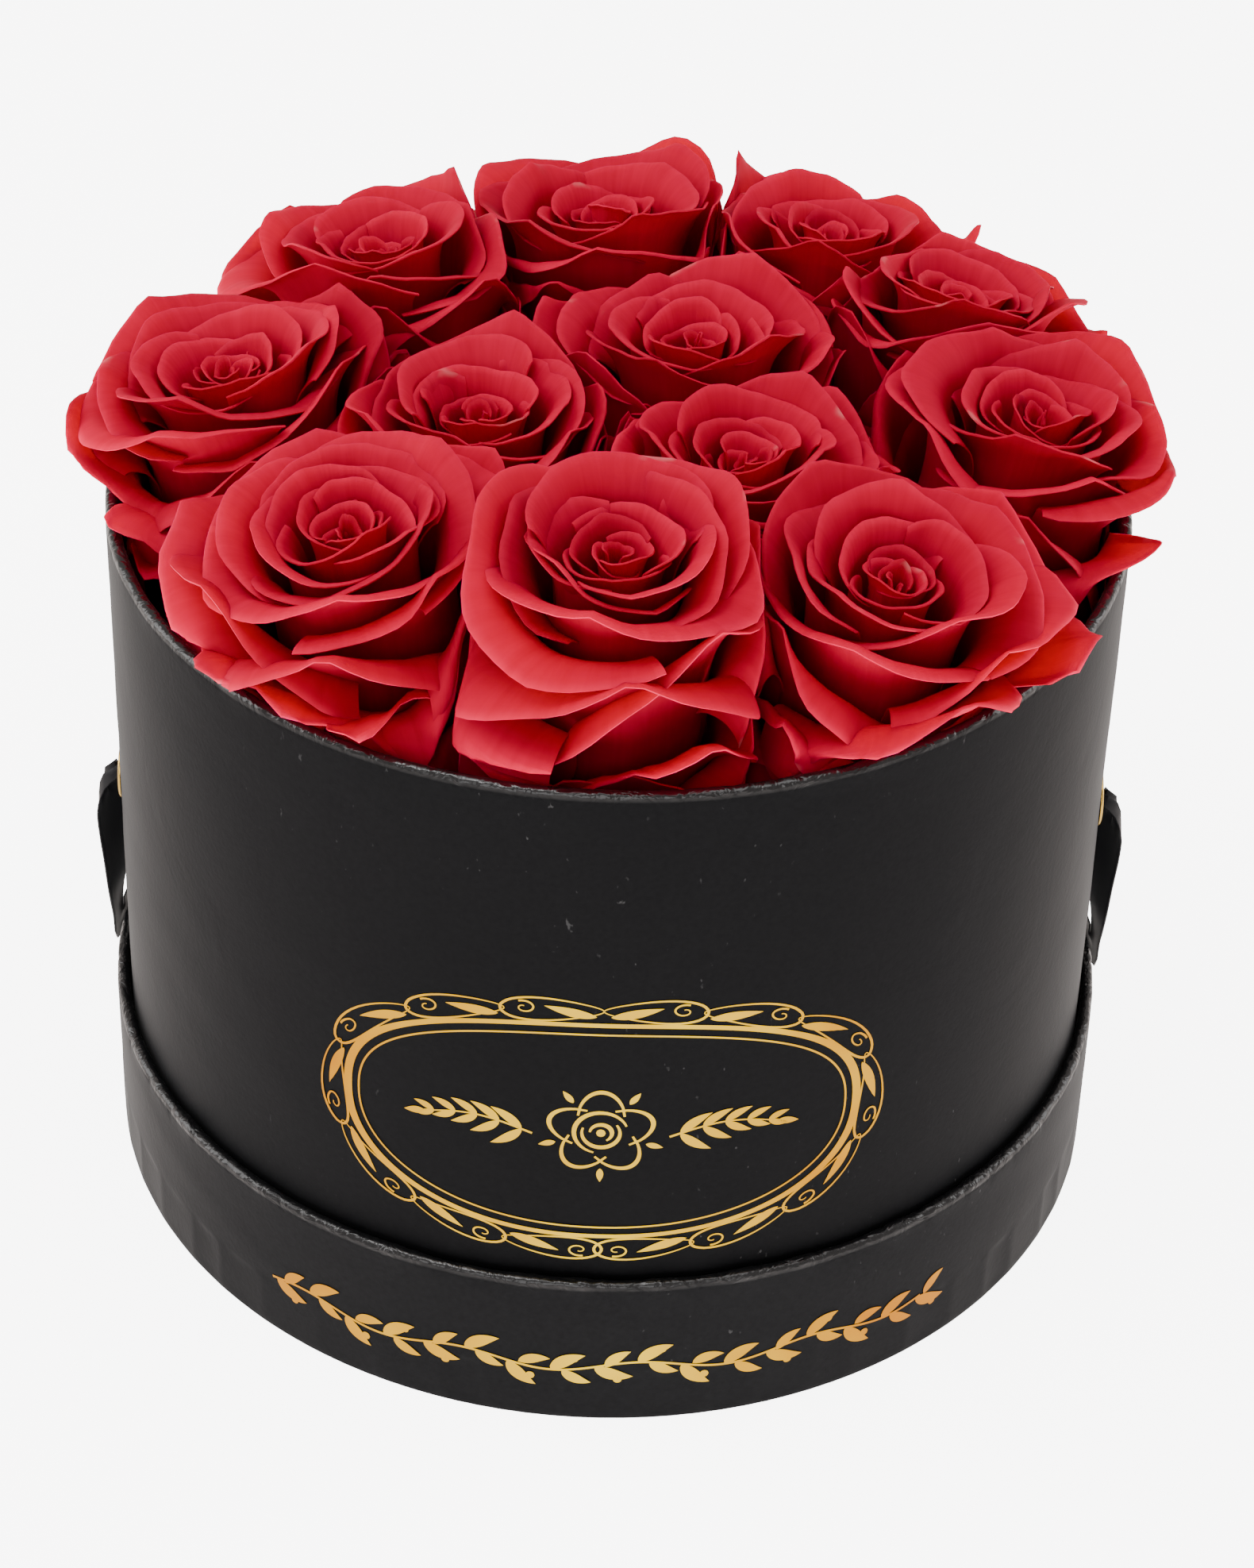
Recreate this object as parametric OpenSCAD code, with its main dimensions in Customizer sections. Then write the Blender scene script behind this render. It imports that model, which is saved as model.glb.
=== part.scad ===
// Round flower box of black paper over greyboard, standing in its upturned lid.
// The box holds a foam block with cut roses. A satin ribbon handle leaves the
// wall through two brass eyelets and lies round the back of the box.
// All sizes are in millimetres. Z = 0 is the table, and the front faces -Y.

/* [Box] */
// outer radius of the box
box_r = 100; // [80:1:140]
// height of the box from its underside to its rim
box_h = 151; // [120:1:200]
// thickness of the greyboard
board = 2; // [1.5:0.1:2.5]
// thickness of the covering and lining papers
paper = 0.3; // [0.2:0.05:0.4]
// depth of the covering paper turned in over the rim
turn_in = 15; // [8:1:25]
// width of the covering paper turned under the base
turn_under = 12; // [6:1:20]

/* [Lid] */
// height of the lid, which stands upturned under the box
lid_h = 36.4; // [25:0.1:50]
// thickness of the greyboard band round the lid
lid_board = 1.9; // [1.4:0.1:2.4]
// radial gap between the box and the lid
lid_gap = 0.5; // [0.3:0.1:1]

/* [Flowers] */
// height of a bloom from its calyx to the top of its bud
bloom_h = 52; // [44:1:60]
// how far the petals may reach out over the wall
overhang = 8; // [2:1:15]
// gap between two blooms pressed together
bloom_gap = 0.6; // [0.4:0.1:1.2]
// thickness of a petal ring
petal = 1.2; // [0.8:0.1:2]
// diameter of a rose stem
stem_d = 6; // [4:0.5:8]
// depth of the foam block's top below the rim
foam_below = 47.6; // [42:0.1:60]
// radial gap between the foam block and the lining
foam_gap = 1; // [0.5:0.1:2]
// depth to which a stem is pushed into the foam
stem_depth = 45; // [25:1:60]

/* [Handle] */
// height of the eyelets above the table
eyelet_z = 80; // [70:1:95]
// radius of the eyelet's bore
eyelet_bore_r = 3.2; // [2.5:0.1:4]
// radius of the eyelet's flange
flange_r = 6; // [5:0.1:8]
// radial clearance of the gathered ribbon in the bore
bundle_gap = 0.1; // [0.05:0.01:0.1]
// width of the ribbon
ribbon_w = 10; // [6:0.5:15]
// thickness of the ribbon
ribbon_t = 0.5; // [0.3:0.05:0.8]
// gap between the ribbon and the lid, round the back
ribbon_out = 2.8; // [2.5:0.1:10]
// length of the ribbon from an eyelet to the bend below it
arm_len = 53; // [45:1:60]
// angle by which the hanging ribbon slants to the back
arm_slant = 14; // [5:1:20]
// height of the ribbon's middle where it lies on the table
floor_z = 5.7; // [5.5:0.1:8]
// clearance between the hanging and the lying ribbon at the bend
bend_gap = 0.3; // [0.2:0.05:0.6]
// radius of the knot inside the box
knot_r = 6; // [4.5:0.5:8]

/* [Foil] */
// thickness drawn for the foil
foil_t = 0.1; // [0.05:0.01:0.2]
// height of the medallion's middle above the table
medal_z = 73.2; // [65:0.1:85]
// half width of the medallion's outer line, along the wall
medal_w = 53; // [40:1:60]
// half height of the medallion's outer line
medal_h = 27.3; // [20:0.1:35]
// width of the medallion's outer line
line_w = 1.1; // [0.6:0.1:2]
// height of the lid garland's middle above the table
garland_z = 14.6; // [10:0.1:25]
// half length of the lid garland, along the band
garland_w = 70; // [50:1:90]

/* [Hidden] */
$fn = 96;
eps = 0.01;
far = 400;
// heights, from the table up
lid_floor_z = paper + board;
box_z = lid_floor_z + paper;
rim_z = box_z + box_h;
box_floor_z = box_z + paper;
inside_z = box_floor_z + board + paper;
// radii of the box, from the outside in
wall_out_r = box_r - paper;
wall_in_r = wall_out_r - board;
lining_r = wall_in_r - paper;
rim_edge_r = board / 2;
turn_z = rim_z - paper - turn_in;
foam_top = rim_z - foam_below;
// radii of the lid, from the inside out
lid_in_r = box_r + lid_gap;
band_in_r = lid_in_r + paper;
band_out_r = band_in_r + lid_board;
lid_r = band_out_r + paper;
lid_edge_r = lid_board / 2;
lid_turn_z = lid_h - paper - turn_in;
// the eyelets
barrel_r = eyelet_bore_r + 0.7;
flange_t = 0.9;
washer_t = 0.5;
washer_x = sqrt(pow(lining_r, 2) - pow(flange_r, 2));
barrel_x = washer_x - washer_t;
bundle_r = eyelet_bore_r - bundle_gap;
bundle_end_x = box_r + flange_t + 2;
knot_x = barrel_x - knot_r - 0.8;
notch_r = knot_r + 2;
notch_x = knot_x - knot_r - 2;
// the bend where the ribbon turns round the back of the lid
bend_r = ribbon_w / 2;
drop_y = 70;
bow_r = lid_r + ribbon_out;
bend_y = arm_len * sin(arm_slant);
bend_z = eyelet_z - arm_len * cos(arm_slant);
arm_x = sqrt(pow(bow_r, 2) - pow(bend_y, 2));
// the foam block
foam_r = lining_r - foam_gap;
stem_r = stem_d / 2;
calyx_h = 11;
calyx_r = 5.5;
// the space a bloom may fill above and inside the rim
rim_gap = 0.4;
throat_r = lining_r - rim_gap;
reach_r = box_r + overhang;
lean_r = 9;
inner_lean_r = 1.5;
inner_inset = 50;
tall_bud = 24.5;
cell_share = 0.62;

// each rose: angle round the box, distance of its bud inside the wall,
// height of its bud above the rim and radius of its open petals
ROSES = [
    [2, 18.5, 16.4, 30],
    [34, 19.2, 16.4, 29],
    [60, 16.5, 14.4, 27],
    [93, 24, 16.4, 30],
    [130.5, 23.7, 16.4, 31],
    [172, 22.5, 16.4, 32],
    [228, 26, 24.4, 33],
    [270, 28.3, 32.4, 29],
    [310, 21, 21.4, 32],
    [196, 72.3, 20.4, 32],
    [320, 69.9, 20.4, 31],
    [56.4, 73.6, 20.4, 31]
];

// ---------- places of the roses ----------

function bud_r(i) = box_r - ROSES[i][1];
function foot_r(i) = bud_r(i) - (ROSES[i][1] > inner_inset ? inner_lean_r : lean_r);
function bud_point(i) = [
    bud_r(i) * cos(ROSES[i][0]),
    bud_r(i) * sin(ROSES[i][0]),
    rim_z + ROSES[i][2]
];
// a bud that stands well above its neighbours is on a longer bloom
function tall(i) = bloom_h + max(0, ROSES[i][2] - tall_bud);
function lean_of(i) = asin((bud_r(i) - foot_r(i)) / tall(i));
function foot_point(i) = [
    foot_r(i) * cos(ROSES[i][0]),
    foot_r(i) * sin(ROSES[i][0]),
    rim_z + ROSES[i][2] - tall(i) * cos(lean_of(i))
];
function cell_point(i) = foot_point(i) + cell_share * (bud_point(i) - foot_point(i));

// puts a child drawn on +Z at the foot of rose i, leaning outwards
module at_rose(i) {
    translate(foot_point(i))
        rotate([0, 0, ROSES[i][0]])
            rotate([0, lean_of(i), 0])
                children();
}

// a ring, a tube or a disc round Z
module ring(r_in, r_out, z0, z1) {
    translate([0, 0, z0])
        difference() {
            cylinder(r = r_out, h = z1 - z0);
            translate([0, 0, -1])
                cylinder(r = r_in, h = z1 - z0 + 2);
        }
}

module disc(r, z0, z1) {
    translate([0, 0, z0])
        cylinder(r = r, h = z1 - z0);
}

// a bar along X through the wall, from x0 to x1 at the eyelet's height
module eyelet_bar(r, x0, x1) {
    translate([x0, 0, eyelet_z])
        rotate([0, 90, 0])
            cylinder(r = r, h = x1 - x0);
}

// ---------- the lid ----------

module lid_disc_board() {
    color([0.5, 0.49, 0.47])
        disc(band_in_r, paper, lid_floor_z);
}

module lid_disc_paper() {
    color([0.08, 0.08, 0.085])
        disc(band_out_r, 0, paper);
}

// the greyboard band, with its free edge rounded over
module lid_band_board() {
    color([0.5, 0.49, 0.47])
        rotate_extrude() {
            translate([band_in_r, paper])
                square([lid_board, lid_h - 2 * paper - lid_edge_r]);
            translate([band_in_r + lid_edge_r, lid_h - paper - lid_edge_r])
                circle(r = lid_edge_r, $fn = 32);
        }
}

// covering paper: outside the band, over its edge and down the inside
module lid_band_wrap() {
    color([0.09, 0.09, 0.095])
        rotate_extrude()
            difference() {
                union() {
                    translate([band_in_r - paper, 0])
                        square([lid_board + 2 * paper, lid_h - lid_edge_r - paper]);
                    translate([band_in_r + lid_edge_r, lid_h - paper - lid_edge_r])
                        circle(r = lid_edge_r + paper, $fn = 32);
                }
                translate([band_in_r - 2 * paper, -1])
                    square([2 * paper, lid_turn_z + 1]);
                translate([band_in_r - 1, -1])
                    square([lid_board + 1, lid_h - paper - lid_edge_r + 1]);
                translate([band_in_r + lid_edge_r, lid_h - paper - lid_edge_r])
                    circle(r = lid_edge_r, $fn = 32);
                translate([0, -1])
                    square([band_in_r, lid_turn_z + 1]);
            }
}

// lining paper: on the lid's inner floor and up to the turned-in cover
module lid_lining() {
    color([0.07, 0.07, 0.075]) {
        disc(band_in_r, lid_floor_z, box_z);
        ring(lid_in_r, band_in_r, lid_floor_z, lid_turn_z);
    }
}

// ---------- the box ----------

module floor_board() {
    color([0.5, 0.49, 0.47])
        disc(wall_in_r, box_floor_z, box_floor_z + board);
}

module floor_paper() {
    color([0.08, 0.08, 0.085])
        disc(box_r - turn_under, box_z, box_floor_z);
}

module floor_lining() {
    color([0.07, 0.07, 0.075])
        disc(wall_in_r, box_floor_z + board, inside_z);
}

// the greyboard tube, with its rim rounded over and a hole for each eyelet
module wall_board() {
    color([0.5, 0.49, 0.47])
        difference() {
            rotate_extrude() {
                translate([wall_in_r, box_floor_z])
                    square([board, box_h - 2 * paper - rim_edge_r]);
                translate([wall_in_r + rim_edge_r, rim_z - paper - rim_edge_r])
                    circle(r = rim_edge_r, $fn = 32);
            }
            eyelet_bar(barrel_r, -far / 2, far / 2);
        }
}

// covering paper: under the base's edge, up the outside and in over the rim
module wall_wrap() {
    color([0.09, 0.09, 0.095])
        difference() {
            rotate_extrude()
                difference() {
                    union() {
                        translate([box_r - turn_under, box_z])
                            square([turn_under, paper]);
                        translate([wall_in_r - paper, box_z])
                            square([board + 2 * paper, box_h - paper - rim_edge_r]);
                        translate([wall_in_r + rim_edge_r, rim_z - paper - rim_edge_r])
                            circle(r = rim_edge_r + paper, $fn = 32);
                    }
                    translate([0, box_floor_z])
                        square([wall_in_r, turn_z - box_floor_z]);
                    translate([wall_in_r, box_floor_z])
                        square([board, box_h - 2 * paper - rim_edge_r]);
                    translate([wall_in_r + rim_edge_r, rim_z - paper - rim_edge_r])
                        circle(r = rim_edge_r, $fn = 32);
                }
            eyelet_bar(barrel_r, -far / 2, far / 2);
        }
}

// lining paper: inside the tube, up to the turned-in cover
module wall_lining() {
    color([0.07, 0.07, 0.075])
        difference() {
            ring(lining_r, wall_in_r, inside_z, turn_z);
            eyelet_bar(barrel_r, -far / 2, far / 2);
        }
}

// a brass eyelet: its flange outside, its barrel through the wall
module eyelet() {
    color([0.75, 0.6, 0.28])
        difference() {
            union() {
                eyelet_bar(barrel_r, barrel_x, box_r + flange_t / 2);
                eyelet_bar(flange_r - flange_t / 2, box_r, box_r + flange_t);
                translate([box_r + flange_t / 2, 0, eyelet_z])
                    rotate([0, 90, 0])
                        rotate_extrude()
                            translate([flange_r - flange_t / 2, 0])
                                circle(r = flange_t / 2, $fn = 24);
            }
            eyelet_bar(eyelet_bore_r, barrel_x - 1, box_r + flange_t + 1);
        }
}

// the washer the barrel is curled over inside
module eyelet_washer() {
    color([0.7, 0.56, 0.27])
        difference() {
            eyelet_bar(flange_r, washer_x - washer_t, washer_x);
            eyelet_bar(barrel_r, 0, far);
        }
}

module eyelet_right() {
    eyelet();
}

module eyelet_left() {
    mirror([1, 0, 0])
        eyelet();
}

module eyelet_washer_right() {
    eyelet_washer();
}

module eyelet_washer_left() {
    mirror([1, 0, 0])
        eyelet_washer();
}

// ---------- the foil ornament ----------

// a distance along a wall of radius r, seen from the front
function along(s, r) = r * sin(s / r * 180 / PI);
function on_wall(pts, r) = [for (p = pts) [along(p[0], r), p[1]]];
function place(pts, at, a, k) = [
    for (p = pts) [
        at[0] + k * (p[0] * cos(a) - p[1] * sin(a)),
        at[1] + k * (p[0] * sin(a) + p[1] * cos(a))
    ]
];
LEAF = [[0, 0], [1.1, 0.75], [2.6, 1.05], [4.2, 0.7], [5.6, 0], [4.2, -0.7], [2.6, -1.05], [1.1, -0.75]];
function drop(n, w, h) = [for (i = [0:n - 1]) [w * cos(i * 360 / n), h * sin(i * 360 / n)]];

// presses its flat children, drawn in X and Z, on a wall of radius r
module pressed_on(r) {
    intersection() {
        ring(r, r + foil_t, 0, rim_z);
        rotate([90, 0, 0])
            linear_extrude(height = far)
                children();
    }
}

module leaf(at, a, k, r) {
    polygon(on_wall(place(LEAF, at, a, k), r));
}

module oval_line(w, h, t, r) {
    difference() {
        polygon(on_wall(place(drop(64, w, h), [0, medal_z], 0, 1), r));
        polygon(on_wall(place(drop(64, w - t, h - t), [0, medal_z], 0, 1), r));
    }
}

// the emblem: an open rose of five petals between two leafy sprays
rose_r = 5.3;
spray_x = 12;
spray_step = 4.6;

module emblem_rose() {
    for (k = [0:4]) {
        a = 90 + 72 * k;
        at = [rose_r * cos(a), medal_z + rose_r * sin(a)];
        polygon(on_wall(place(drop(14, 4.4, 2.9), at, a, 1), box_r));
    }
    polygon(on_wall(place(drop(14, 1.6, 1.6), [0, medal_z], 0, 1), box_r));
}

module spray(sx) {
    for (k = [0:3])
        for (sz = [-1, 1]) {
            at = [sx * (spray_x + spray_step * k), medal_z + sz * 0.9];
            leaf(at, sx > 0 ? sz * 38 : 180 - sz * 38, 1 - 0.12 * k, box_r);
        }
}

// three leaves climb from the oval line at each of its four quarters
module quarter(sx, sz) {
    for (k = [0:2]) {
        at = [sx * (medal_w - 8 - 7 * k), medal_z + sz * (medal_h - 9 + 4.6 * k)];
        leaf(at, sx * sz > 0 ? 30 - 12 * k : 150 + 12 * k, 1.15, box_r);
    }
}

module foil_medallion() {
    color([0.83, 0.66, 0.32])
        pressed_on(box_r) {
            oval_line(medal_w, medal_h, line_w, box_r);
            oval_line(medal_w - 2.6, medal_h - 2.6, line_w / 2, box_r);
            for (sx = [-1, 1])
                for (sz = [-1, 1])
                    quarter(sx, sz);
            emblem_rose();
            spray(1);
            spray(-1);
        }
}

// a garland of paired leaves and berries along the lid's band
module lid_foil_garland() {
    color([0.83, 0.66, 0.32])
        pressed_on(lid_r) {
            for (k = [-8:8])
                polygon(on_wall(place(drop(12, 1, 1), [k * garland_w / 8.3, garland_z], 0, 1), lid_r));
            for (k = [-8:7])
                for (sz = [-1, 1])
                    leaf([(k + 0.3) * garland_w / 8.3, garland_z + sz * 0.8], sz * 32, 0.95, lid_r);
        }
}

// ---------- the foam and the roses ----------

module foam_block() {
    color([0.16, 0.34, 0.2])
        difference() {
            disc(foam_r, inside_z, foam_top);
            for (sx = [0, 1])
                mirror([sx, 0, 0])
                    translate([notch_x, -notch_r, eyelet_z - notch_r])
                        cube([far, 2 * notch_r, 2 * notch_r]);
            for (i = [0:len(ROSES) - 1])
                at_rose(i)
                    translate([0, 0, -foam_drop(i)])
                        cylinder(r = stem_r, h = far / 2);
        }
}

// length of stem from the foot of bloom i to the stem's cut end
function foam_drop(i) = (foot_point(i)[2] - foam_top) / cos(lean_of(i)) + stem_depth;

// a stem with the swollen calyx that carries the petals
module stem(i) {
    color([0.24, 0.42, 0.16])
        at_rose(i)
            union() {
                translate([0, 0, -foam_drop(i)])
                    cylinder(r = stem_r, h = foam_drop(i) - eps);
                translate([0, 0, -calyx_h])
                    cylinder(r1 = stem_r, r2 = calyx_r, h = calyx_h - eps);
            }
}

// petals in the round: a closed bud in two open rings, on one base
module petals(h, r) {
    rotate_extrude() {
        polygon([[0, 0], [7, 0], [12, 5], [12.5, 12], [0, 12]]);
        polygon([[0, 10], [9, 10], [11.5, 24], [11, h - 10], [8.5, h - 2], [6, h], [0, h - 1]]);
        polygon([[9, 4], [12.5, 5], [17, 16], [18.5, h - 22], [20, h - 9], [20 - petal, h - 8.5],
            [18.5 - petal, h - 21], [15.8, 17], [9, 8]]);
        polygon([[7, 0], [12, 1.5], [r - 8, 13], [r - 5, h - 26], [r - 2, h - 15], [r, h - 13],
            [r - 0.6, h - 11.6], [r - 3, h - 13], [r - 5 - petal, h - 25], [r - 9, 14.5], [10, 7]]);
    }
}

// the far side of the plane on which bloom i presses against bloom j
module beyond(i, j) {
    d = cell_point(j) - cell_point(i);
    flat = norm([d[0], d[1]]);
    share = 0.5 + (pow(ROSES[i][3], 2) - pow(ROSES[j][3], 2)) / (2 * pow(norm(d), 2));
    reach = share * norm(d) - bloom_gap / 2;
    translate(cell_point(i))
        rotate([0, atan2(flat, d[2]), atan2(d[1], d[0])])
            translate([-far / 4, -far / 4, reach])
                cube([far / 2, far / 2, far / 4]);
}

function apart(i, j) = norm(cell_point(j) - cell_point(i));

module bloom(i) {
    color([0.6, 0.06, 0.13])
        difference() {
            at_rose(i)
                petals(tall(i), ROSES[i][3]);
            for (j = [0:len(ROSES) - 1])
                if (j != i && apart(i, j) < ROSES[i][3] + ROSES[j][3] + 6)
                    beyond(i, j);
            ring(throat_r, far / 2, inside_z, rim_z + rim_gap);
            ring(reach_r, far / 2, rim_z, far);
        }
}

// ---------- the ribbon handle ----------

// side view of a hanging arm, before it slants back: out of the eyelet,
// over a soft bulge and down to the bend
ARM = [
    [bundle_end_x - 1, eyelet_z],
    [arm_x - 0.8, eyelet_z - 0.6],
    [arm_x + 0.5, eyelet_z - 3.2],
    [arm_x + 1.3, eyelet_z - 8],
    [arm_x + 1.6, eyelet_z - 15],
    [arm_x + 1.2, eyelet_z - 26],
    [arm_x + 0.5, eyelet_z - 36],
    [arm_x, eyelet_z - 45],
    [arm_x, eyelet_z - arm_len]
];
function arm_normal(i) = let (
        a = ARM[max(0, i - 1)],
        b = ARM[min(len(ARM) - 1, i + 1)],
        d = (b - a) / norm(b - a)
    ) [-d[1], d[0]];
function arm_side(k) = [for (i = [0:len(ARM) - 1]) ARM[i] + k * ribbon_t / 2 * arm_normal(i)];
function turned(pts) = [for (i = [len(pts) - 1:-1:0]) pts[i]];

module ribbon_arm() {
    color([0.06, 0.06, 0.065]) {
        eyelet_bar(bundle_r, knot_x, bundle_end_x);
        difference() {
            translate([0, 0, eyelet_z])
                rotate([arm_slant, 0, 0])
                    translate([0, ribbon_w / 2, -eyelet_z])
                        rotate([90, 0, 0])
                            linear_extrude(height = ribbon_w)
                                polygon(concat(arm_side(1), turned(arm_side(-1))));
            translate([0, bend_y, bend_z])
                rotate([0, 90, 0])
                    cylinder(r = bend_r + bend_gap, h = far);
            translate([0, bend_y, bend_z - bend_r])
                cube([far, far, 2 * bend_r + bend_gap]);
        }
    }
}

module ribbon_arm_right() {
    ribbon_arm();
}

module ribbon_arm_left() {
    mirror([1, 0, 0])
        ribbon_arm();
}

module knot() {
    color([0.06, 0.06, 0.065])
        difference() {
            translate([knot_x, 0, eyelet_z])
                sphere(r = knot_r);
            eyelet_bar(bundle_r, knot_x, far);
        }
}

module knot_right() {
    knot();
}

module knot_left() {
    mirror([1, 0, 0])
        knot();
}

// the ribbon round the back: it drops from both bends and lies on its edge
function drop_z(y) = floor_z + (bend_z - floor_z) * (1 + cos(180 * min(1, (y - bend_y) / drop_y))) / 2;
function bow_edge(side) = [
    for (k = [0:10]) [bend_y + k * drop_y / 10, drop_z(bend_y + k * drop_y / 10) + side * bend_r]
];

module ribbon_bow() {
    color([0.06, 0.06, 0.065])
        intersection() {
            ring(bow_r - ribbon_t / 2, bow_r + ribbon_t / 2, 0, 2 * bend_z);
            translate([-far / 2, 0, 0])
                rotate([90, 0, 90])
                    linear_extrude(height = far)
                        union() {
                            translate([bend_y, bend_z])
                                circle(r = bend_r);
                            polygon(concat(
                                bow_edge(-1),
                                [[far / 2, floor_z - bend_r], [far / 2, floor_z + bend_r]],
                                turned(bow_edge(1))
                            ));
                        }
        }
}

module stem_01() {
    stem(0);
}
module stem_02() {
    stem(1);
}
module stem_03() {
    stem(2);
}
module stem_04() {
    stem(3);
}
module stem_05() {
    stem(4);
}
module stem_06() {
    stem(5);
}
module stem_07() {
    stem(6);
}
module stem_08() {
    stem(7);
}
module stem_09() {
    stem(8);
}
module stem_10() {
    stem(9);
}
module stem_11() {
    stem(10);
}
module stem_12() {
    stem(11);
}
module bloom_01() {
    bloom(0);
}
module bloom_02() {
    bloom(1);
}
module bloom_03() {
    bloom(2);
}
module bloom_04() {
    bloom(3);
}
module bloom_05() {
    bloom(4);
}
module bloom_06() {
    bloom(5);
}
module bloom_07() {
    bloom(6);
}
module bloom_08() {
    bloom(7);
}
module bloom_09() {
    bloom(8);
}
module bloom_10() {
    bloom(9);
}
module bloom_11() {
    bloom(10);
}
module bloom_12() {
    bloom(11);
}

lid_disc_board();
lid_disc_paper();
lid_band_board();
lid_band_wrap();
lid_lining();
lid_foil_garland();
floor_board();
floor_paper();
floor_lining();
wall_board();
wall_wrap();
wall_lining();
foil_medallion();
eyelet_left();
eyelet_right();
eyelet_washer_left();
eyelet_washer_right();
foam_block();
stem_01();
stem_02();
stem_03();
stem_04();
stem_05();
stem_06();
stem_07();
stem_08();
stem_09();
stem_10();
stem_11();
stem_12();
bloom_01();
bloom_02();
bloom_03();
bloom_04();
bloom_05();
bloom_06();
bloom_07();
bloom_08();
bloom_09();
bloom_10();
bloom_11();
bloom_12();
ribbon_arm_left();
ribbon_arm_right();
knot_left();
knot_right();
ribbon_bow();
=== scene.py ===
"""A round black flower box standing in its upturned lid, filled with red roses."""
import math
import random
import bpy
import numpy as np
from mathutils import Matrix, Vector


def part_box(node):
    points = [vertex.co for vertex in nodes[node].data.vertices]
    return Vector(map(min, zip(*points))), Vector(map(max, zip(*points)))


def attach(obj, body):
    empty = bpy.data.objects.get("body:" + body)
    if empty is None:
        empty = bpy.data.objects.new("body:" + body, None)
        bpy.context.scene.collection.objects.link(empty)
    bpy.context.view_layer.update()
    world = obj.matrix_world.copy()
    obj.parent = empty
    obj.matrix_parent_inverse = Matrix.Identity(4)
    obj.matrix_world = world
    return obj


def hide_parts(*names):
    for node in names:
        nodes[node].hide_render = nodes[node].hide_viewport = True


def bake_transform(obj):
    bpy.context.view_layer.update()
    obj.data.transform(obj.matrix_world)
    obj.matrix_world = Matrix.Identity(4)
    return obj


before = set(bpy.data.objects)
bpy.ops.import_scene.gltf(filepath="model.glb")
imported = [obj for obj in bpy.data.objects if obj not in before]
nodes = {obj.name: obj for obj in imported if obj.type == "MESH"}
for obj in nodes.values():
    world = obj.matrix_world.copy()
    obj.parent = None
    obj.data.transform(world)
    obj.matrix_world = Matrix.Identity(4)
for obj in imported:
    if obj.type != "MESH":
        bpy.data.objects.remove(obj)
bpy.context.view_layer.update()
# one millimetre in metres
MM = 0.001


# ---------- camera ----------
# A portrait lens about 0.9 m away, looking down on the open box at 37 degrees.
camera = bpy.data.objects.new("camera", bpy.data.cameras.new("camera"))
bpy.context.scene.collection.objects.link(camera)
camera.data.sensor_fit = "VERTICAL"
camera.data.sensor_height = 36.0
camera.data.lens = 98.84
camera.data.clip_end = 20.0
camera.location = (0.0, -0.70304, 0.61892)
camera.rotation_euler = [math.radians(a) for a in (52.4985, -1.4378, 0.8333)]
bpy.context.scene.camera = camera


# ---------- ribbon handle ----------
# One satin ribbon 10 mm wide, knotted inside the wall at both ends. It leaves each
# brass eyelet gathered, hangs slanting back and lies on its edge round the lid.
EYELET_Z = (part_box("eyelet_right")[0].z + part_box("eyelet_right")[1].z) / 2
BOW_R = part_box("ribbon_bow")[1].y - 0.25 * MM
RIBBON_W = 10 * MM
RIBBON_THICK = 0.35 * MM
FLOOR_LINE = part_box("ribbon_bow")[0].z + RIBBON_W / 2
ARM_LEN = 53 * MM
ARM_SLANT = math.radians(14)
BEND_Y = ARM_LEN * math.sin(ARM_SLANT)
BEND_Z = EYELET_Z - ARM_LEN * math.cos(ARM_SLANT)
ARM_X = math.sqrt(BOW_R ** 2 - BEND_Y ** 2)
# how far behind the bend the bow has sunk to the floor
DROP_Y = 70 * MM
# the hanging arm seen from the front, as distances from the bend's line and from the eyelet
ARM_ROUTE = [(-14.0, 0.0), (-9.5, 0.0), (-5.4, 0.0), (-3.6, -0.7), (-2.2, 0.0), (-1.3, 3.4), (-1.2, 8.6),
             (-1.2, 16.0), (-1.2, 26.0), (-0.7, 36.0), (0.0, 45.0)]


def arm_points(side):
    """The route of one arm from its eyelet to just above the bend."""
    route = []
    for out, down in ARM_ROUTE:
        back = down * MM * math.sin(ARM_SLANT)
        route.append(Vector((side * (ARM_X + out * MM), back, EYELET_Z - down * MM * math.cos(ARM_SLANT))))
    return route


def bow_points(count=46):
    """The route round the back, from the right bend to the left one."""
    start = math.asin(BEND_Y / BOW_R)
    route = []
    for i in range(count):
        turn = start + (math.pi - 2 * start) * i / (count - 1)
        y = BOW_R * math.sin(turn)
        fall = min(1.0, (y - BEND_Y) / DROP_Y)
        z = FLOOR_LINE + (BEND_Z - FLOOR_LINE) * (1 + math.cos(math.pi * fall)) / 2
        route.append(Vector((BOW_R * math.cos(turn), y, z)))
    return route


def resample(route, step):
    """The same route through smooth curves, with points this far apart."""
    pts = np.array([tuple(p) for p in route])
    pad = np.vstack([2 * pts[0] - pts[1], pts, 2 * pts[-1] - pts[-2]])
    fine = []
    for i in range(1, len(pad) - 2):
        p0, p1, p2, p3 = pad[i - 1:i + 3]
        for t in np.linspace(0, 1, 24, endpoint=False):
            fine.append(0.5 * (2 * p1 + (p2 - p0) * t + (2 * p0 - 5 * p1 + 4 * p2 - p3) * t ** 2
                               + (3 * p1 - p0 - 3 * p2 + p3) * t ** 3))
    fine.append(pts[-1])
    fine = np.array(fine)
    gaps = np.linalg.norm(np.diff(fine, axis=0), axis=1)
    reach = np.concatenate([[0], np.cumsum(gaps)])
    count = max(2, int(round(reach[-1] / step)) + 1)
    at = np.linspace(0, reach[-1], count)
    return np.stack([np.interp(at, reach, fine[:, k]) for k in range(3)], axis=1), reach[-1]


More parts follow.
